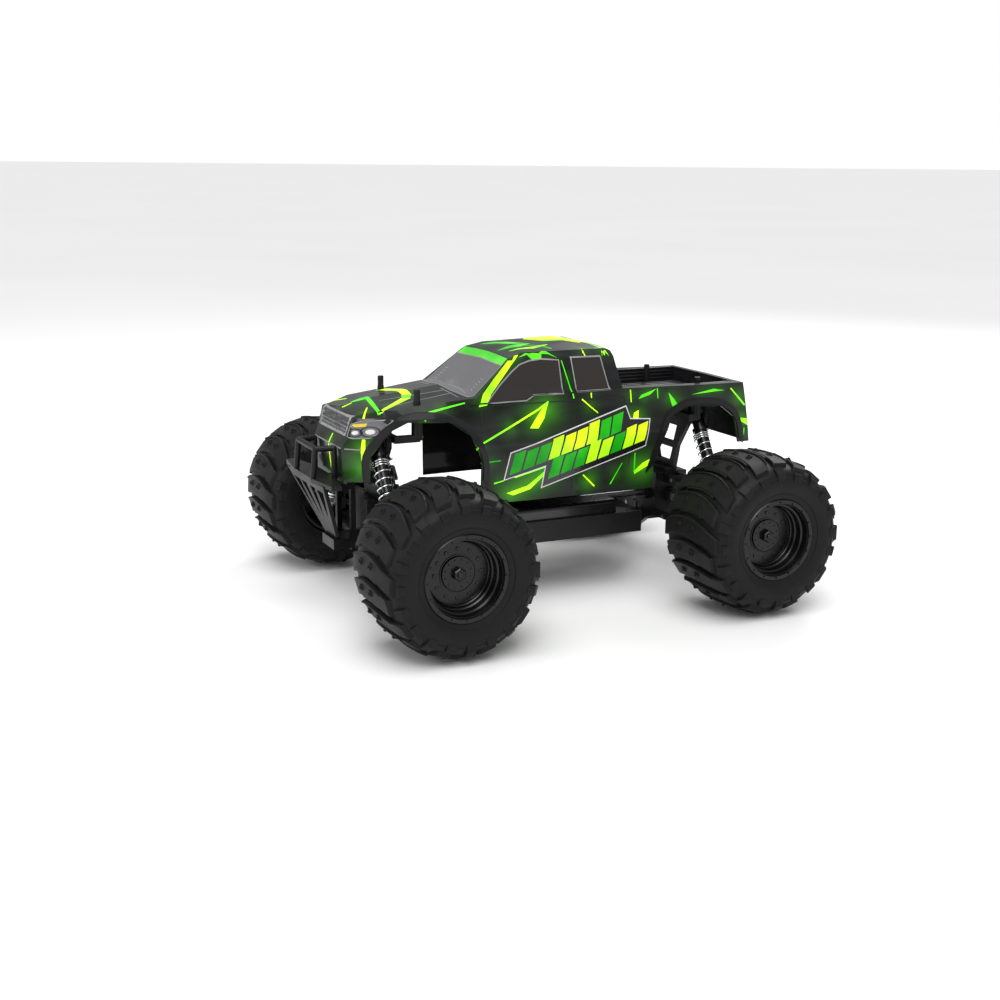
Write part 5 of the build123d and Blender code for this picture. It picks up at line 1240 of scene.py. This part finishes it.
    def prints(self, streaks: list[Streak], press: Press) -> dict[str, Mesh]:
        """Press windows, lamps, grille, lips and graphics on to the shell.

        Args:
            streaks: all the streaks.
            press: the press.

        Returns:
            One mesh for each print, by name.
        """
        sheets = {name: bmesh.new() for name in PRINT_FINISH}
        for streak in streaks:
            press.add(sheets[streak.ink.value], list(streak.outline), streak.view, 0.16)
        for view in (View.LEFT, View.RIGHT):
            self.flank(sheets, press, view)
            self.side_plate(sheets, press, view)
        self.nose(sheets, press)
        self.glasshouse(sheets, press)
        self.tail(sheets, press)
        return sheets

    def flank(self, sheets: dict[str, Mesh], press: Press, view: View) -> None:
        """Windows, arch lips and shut lines of one side.

        Args:
            sheets: mesh of each print, by name.
            press: the press.
            view: left or right.
        """
        for window in (self.front_window, self.rear_window):
            outline = list(window)
            press.add(sheets["window_frames"], grown(outline, 0.7), view, 0.24, outline)
            press.add(sheets["side_windows"], outline, view, 0.2)
        for arch in (self.front_arch, self.rear_arch):
            curve = flowing(list(arch), 4)
            for sheet, near, far, lift in self.arch_bands:
                press.add(sheets[sheet], grown(curve, far) + grown(curve, near)[::-1], view, lift)
        for start, stop in self.door_lines:
            press.add(sheets["shut_lines"], strip(start, stop, 0.55, 0.55), view, 0.1)

    def side_plate(self, sheets: dict[str, Mesh], press: Press, view: View) -> None:
        """Dark plate with two rows of slanted green and lime bars, on one side.

        Args:
            sheets: mesh of each print, by name.
            press: the press.
            view: left or right.
        """
        plate = list(self.plate)
        press.add(sheets["white_print"], grown(plate, 0.6), view, 0.24, plate)
        press.add(sheets["ink_print"], plate, view, 0.22)
        for start, foot, hues in self.bar_rows:
            for k, hue in enumerate(hues):
                left = start - self.bar_pitch * k
                low = foot + (start - left) * self.bar_rise
                tall = self.bar_heights[1 if k % 3 else 0]
                across, up = self.bar_width, self.bar_width * self.bar_rise
                outline = [(left, low), (left - self.bar_lean, low + tall),
                           (left - self.bar_lean - across, low + tall + up), (left - across, low + up)]
                press.add(sheets["green_print" if hue == "g" else "lime_print"], outline, view, 0.34)

    def nose(self, sheets: dict[str, Mesh], press: Press) -> None:
        """Grille, lamps, and the painted highlight along the crease of the nose.

        Args:
            sheets: mesh of each print, by name.
            press: the press.
        """
        grille = list(self.grille)
        press.add(sheets["grille"], grille, View.FRONT, 0.2)
        for row in range(self.grille_rows):
            count = 19 + (row + 1) % 2
            for k in range(count):
                cell = ((k - (count - 1) / 2) * self.grille_pitch,
                        self.grille_foot + row * self.grille_pitch * 0.88)
                press.add(sheets["ink_print"], disc(cell, self.grille_cell, 6), View.FRONT, 0.34)
        press.add(sheets["window_frames"], grown(grille, 0.8), View.FRONT, 0.45, grille)
        # A pale line along the nose crease is a painted highlight where light catches the fold.
        press.add(sheets["crease_highlight"], list(self.nose_crease), View.FRONT, 0.15)
        for side in (-1, 1):
            lamp = sided(self.headlamp, side)
            press.add(sheets["window_frames"], grown(lamp, 0.5), View.FRONT, 0.2, lamp)
            press.add(sheets["lamp_print"], lamp, View.FRONT, 0.16)
            for y, z, radius in self.lenses:
                ring = disc((side * y, z), radius)
                press.add(sheets["ink_print"], grown(ring, 0.5), View.FRONT, 0.26, ring)
                press.add(sheets["lens_print"], disc((side * y, z), radius * 0.55), View.FRONT, 0.3)
            press.add(sheets["amber_print"], sided(self.indicator, side), View.FRONT, 0.3)
            press.add(sheets["ink_print"], sided(self.brow, side), View.FRONT, 0.3)

    def glasshouse(self, sheets: dict[str, Mesh], press: Press) -> None:
        """Windscreen, its green header, its wipers, and painted highlights along the creases of the bonnet.

        Args:
            sheets: mesh of each print, by name.
            press: the press.
        """
        front, back = self.screen_middle
        left = list(self.screen_half)
        right = [(x, -y) for x, y in reversed(left)]
        screen = [*left, (back, 0.0), *right, (front, 0.0)]
        press.add(sheets["windscreen"], screen, View.TOP, 0.2)
        press.add(sheets["window_frames"], grown(screen, 0.5), View.TOP, 0.24, screen)
        press.add(sheets["green_band"], list(self.header), View.TOP, 0.26)
        for side in (-1, 1):
            press.add(sheets["window_frames"], [(x, side * y) for x, y in self.wiper], View.TOP, 0.3)
            for k in range(self.demister_lines):
                foot = (50.0 - 1.7 * k, side * (27.6 - 0.2 * k))
                line = strip(foot, (foot[0] - 0.6, foot[1] - side * 3.4), 0.35, 0.35)
                press.add(sheets["window_frames"], line, View.TOP, 0.3)
            # Pale lines along the bonnet creases are painted highlights where light catches the folds.
            for start, stop in self.bonnet_creases:
                line = strip((start[0], side * start[1]), (stop[0], side * stop[1]), 0.4, 0.6)
                press.add(sheets["crease_highlight"], line, View.TOP, 0.12)

    def tail(self, sheets: dict[str, Mesh], press: Press) -> None:
        """Rear window, tailgate outline, handle and tail lamps.

        Args:
            sheets: mesh of each print, by name.
            press: the press.
        """
        pane, gate = list(self.back_window), list(self.tailgate)
        press.add(sheets["side_windows"], pane, View.REAR, 0.2)
        press.add(sheets["window_frames"], grown(pane, 0.7), View.REAR, 0.24, pane)
        press.add(sheets["shut_lines"], grown(gate, 0.5), View.REAR, 0.12, gate)
        press.add(sheets["ink_print"], list(self.handle), View.REAR, 0.5)
        for side in (-1, 1):
            lamp = sided(self.tail_lamp, side)
            press.add(sheets["tail_lamps"], lamp, View.REAR, 0.5)
            press.add(sheets["ink_print"], grown(lamp, 0.6), View.REAR, 0.56, lamp)

    def bed(self) -> Mesh:
        """Ribs on the floor and the inner walls of the cargo bed.

        Returns:
            The ribs.
        """
        bm = bmesh.new()
        front, back = self.bed_ends
        middle, long = (front + back) / 2, front - back
        bars = [(self.floor_rib_pitch * k, self.bed_floor + 0.4, 2.0, 1.2) for k in range(-5, 6)]
        bars += [(side * self.wall_rib_place, self.bed_floor + 2.0 + self.wall_rib_pitch * k, 0.9, 0.9)
                 for side in (-1, 1) for k in range(4)]
        for y, z, wide, tall in bars:
            place = Matrix.Translation((middle, y, z)) @ Matrix.Diagonal((long, wide, tall, 1))
            made = bmesh.ops.create_cube(bm, size=1, matrix=place)["verts"]
            edges = list({edge for vert in made for edge in vert.link_edges})
            bmesh.ops.bevel(bm, geom=edges, offset=self.rib_edge, segments=2, profile=0.5, affect="EDGES",
                            material=-1)
        return bm

    def build(self) -> list[Piece]:
        """Make the shell and everything printed or moulded on it.

        Returns:
            The pieces.
        """
        base = self.skin()
        press = Press(BVHTree.FromBMesh(base))
        base.free()
        streaks = flank_streaks(View.LEFT) + flank_streaks(View.RIGHT) + crown_streaks()
        skin = self.paint(streaks, press)
        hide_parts(self.body)
        made = [skin]
        for name, bm in self.prints(streaks, press).items():
            made.append(finish_mesh(bm, f"shell_{name}", PRINT_FINISH[name].material(), sharp=30))
        made.append(finish_mesh(self.bed(), "shell_bed_ribs", RIB.material()))
        for piece in made:
            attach(piece, self.body)
        return made


PRINT_FINISH = {
    "lime_streaks": LIME, "green_streaks": GREEN, "lime_print": LIME_PRINT, "green_print": GREEN_PRINT,
    "green_band": PALE_GREEN, "white_print": WHITE, "ink_print": INK, "window_frames": OUTLINE_AND_CREASE_HIGHLIGHT,
    "side_windows": GLASS_SIDE, "windscreen": GLASS_FRONT, "grille": GRILLE, "lamp_print": LAMP,
    "lens_print": WHITE, "amber_print": AMBER, "tail_lamps": TAIL_RED, "arch_lips": LINER,
    # The crease lines take the pale outline finish as a painted highlight.
    "arch_edges": SEAM, "shut_lines": SEAM, "crease_highlight": OUTLINE_AND_CREASE_HIGHLIGHT,
}


# ------------------------------------------------------------------------------------------
# The truck
# ------------------------------------------------------------------------------------------
@dataclass
class Truck:
    """All new pieces, and the finishes of the mechanical nodes that stay."""

    corners: tuple[str, ...] = ("front_left", "front_right", "rear_left", "rear_right")
    shock_eye: Point2 = (21.0, 106.0)
    shock_foot: Point2 = (60.0, 41.0)
    seat_gap: float = 2.0

    def wheels(self) -> list[Piece]:
        """Make the four tyres and rims, and seat them on the wheels' own places.

        Returns:
            The pieces.
        """
        made = []
        rubber, plastic = RUBBER.material(), RIM_BLACK.material()
        for corner in self.corners:
            low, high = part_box(f"{corner}_tyre")
            centre = (low + high) / 2 / MM
            tyre = Tyre().build(f"{corner}_lugged_tyre", centre, rubber)
            rim = Rim().build(f"{corner}_beadlock_rim", centre, 1 if "left" in corner else -1, plastic)
            for piece, node, slot in ((tyre, "tyre", "tyre_rubber"), (rim, "rim", "rim_plastic")):
                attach(piece, f"{corner}_wheel")
                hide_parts(f"{corner}_{node}")
                made.append(piece)
        return made

    def springs(self) -> list[Piece]:
        """Make the four coil springs, which stretch between the two halves of each shock.

        Returns:
            The springs.
        """
        made = []
        chrome = CHROME.material()
        for corner in self.corners:
            low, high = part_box(f"{corner}_shock_spring")
            side = 1 if "left" in corner else -1
            eye = Vector((0, side * self.shock_eye[0], self.shock_eye[1]))
            foot = Vector((0, side * self.shock_foot[0], self.shock_foot[1]))
            run = (foot - eye).normalized()
            middle = (low + high) / 2 / MM
            half = (high.z - low.z) / MM / 2 - self.seat_gap
            reach = run * (half / abs(run.z))
            top, bottom = middle - reach, middle + reach
            spring = Spring().build(f"{corner}_coil_spring", top, bottom, chrome)
            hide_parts(f"{corner}_shock_spring")
            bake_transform(spring)
            made.append(spring)
        return made

    @staticmethod
    def dress() -> None:
        """Give each mechanical node that stays its finish."""
        ready: dict[str, Material] = {}
        for node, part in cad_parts.items():
            finish = next(finish for word, finish in NODE_FINISH if word in node)
            if finish.name not in ready:
                ready[finish.name] = finish.material()
            for slot in part.material_slots:
                slot.material = ready[finish.name]
            LOG.info("dressed %s as %s", node, finish.name)


NODE_FINISH = (
    ("tyre", RUBBER), ("rim", RIM_BLACK), ("spring", CHROME), ("shock_body", RIM_BLACK),
    ("shock_shaft", STEEL), ("dogbone", STEEL), ("driveshaft", STEEL), ("pinion", GEAR),
    ("differential", GEAR), ("hinge_pins", STEEL), ("motor", CAN), ("battery", WRAP), ("receiver", CASE),
    ("servo_horn", NYLON_GREY), ("servo", CASE), ("switch", KNOB), ("tie_rod", STEEL), ("bumper", BUMPER),
    ("", NYLON),
)


# ------------------------------------------------------------------------------------------
# Studio
# ------------------------------------------------------------------------------------------
@dataclass
class Studio:
    """Pale floor, soft lights and the camera."""

    eye: tuple[float, float, float] = (0.3934, 0.7712, 0.2596)
    yaw: float = -115.954
    pitch: float = -13.47
    roll: float = 0.666
    lens: float = 51.56
    floor_reach: float = 40000.0
    fill: float = 0.42
    sky: float = 1.7
    sky_spread: float = 50.0
    sky_tilt: tuple[float, float] = (-14.0, 10.0)
    aim: tuple[float, float, float] = (0.0, 0.0, 0.06)
    lamps: tuple[tuple[str, tuple[float, float, float], float, float], ...] = (
        ("key", (0.45, 1.0, 0.95), 0.6, 6.0), ("back", (-0.9, -0.7, 0.9), 0.7, 7.0),
        ("front", (1.1, -0.1, 0.45), 0.5, 2.5))

    def floor(self) -> None:
        """Lay the floor."""
        bm = bmesh.new()
        bmesh.ops.create_grid(bm, x_segments=2, y_segments=2, size=self.floor_reach)
        finish_mesh(bm, "floor", FLOOR.material())

    def world(self) -> None:
        """Surround the truck with white that lights it less than it shows."""
        world = bpy.data.worlds.new("studio")
        world.use_nodes = True
        tree = world.node_tree
        background = tree.nodes["Background"]
        background.inputs["Color"].default_value = (1.0, 1.0, 1.0, 1.0)
        seen = tree.nodes.new("ShaderNodeLightPath")
        level = tree.nodes.new("ShaderNodeMapRange")
        level.inputs["To Min"].default_value = self.fill
        level.inputs["To Max"].default_value = 1.0
        tree.links.new(seen.outputs["Is Camera Ray"], level.inputs["Value"])
        tree.links.new(level.outputs["Result"], background.inputs["Strength"])
        bpy.context.scene.world = world

    def light(self) -> None:
        """Hang a wide sky light and the soft lamps."""
        sun = bpy.data.lights.new("sky", "SUN")
        sun.energy = self.sky
        sun.angle = math.radians(self.sky_spread)
        above = bpy.data.objects.new("sky", sun)
        above.rotation_euler = (math.radians(self.sky_tilt[0]), math.radians(self.sky_tilt[1]), 0)
        bpy.context.scene.collection.objects.link(above)
        for name, place, size, power in self.lamps:
            lamp = bpy.data.lights.new(name, "AREA")
            lamp.size = size
            lamp.energy = power
            made = bpy.data.objects.new(name, lamp)
            made.location = place
            made.rotation_euler = (Vector(self.aim) - Vector(place)).to_track_quat("-Z", "Y").to_euler()
            bpy.context.scene.collection.objects.link(made)

    def camera(self) -> None:
        """Place the camera."""
        yaw, pitch, roll = (math.radians(angle) for angle in (self.yaw, self.pitch, self.roll))
        ahead = Vector((math.cos(pitch) * math.cos(yaw), math.cos(pitch) * math.sin(yaw), math.sin(pitch)))
        right = ahead.cross(Vector((0, 0, 1))).normalized()
        up = right.cross(ahead)
        across = right * math.cos(roll) + up * math.sin(roll)
        upward = -right * math.sin(roll) + up * math.cos(roll)
        lens = bpy.data.cameras.new("camera")
        lens.lens = self.lens
        lens.sensor_width = 36.0
        lens.clip_start = 0.01
        made = bpy.data.objects.new("camera", lens)
        turn = Matrix((across, upward, -ahead)).transposed()
        made.matrix_world = Matrix.Translation(self.eye) @ turn.to_4x4()
        bpy.context.scene.collection.objects.link(made)
        bpy.context.scene.camera = made

    def build(self) -> None:
        """Set up the studio."""
        self.floor()
        self.world()
        self.light()
        self.camera()
        bpy.context.scene.view_settings.view_transform = "Standard"


def main() -> None:
    """Build the truck in its studio."""
    logging.basicConfig(level=logging.INFO, format="%(name)s: %(message)s")
    Studio().build()
    truck = Truck()
    truck.dress()
    for piece in truck.wheels() + truck.springs() + Shell().build():
        LOG.info("%s: %d faces", piece.name, len(piece.data.polygons))


if __name__ == "__main__":
    main()
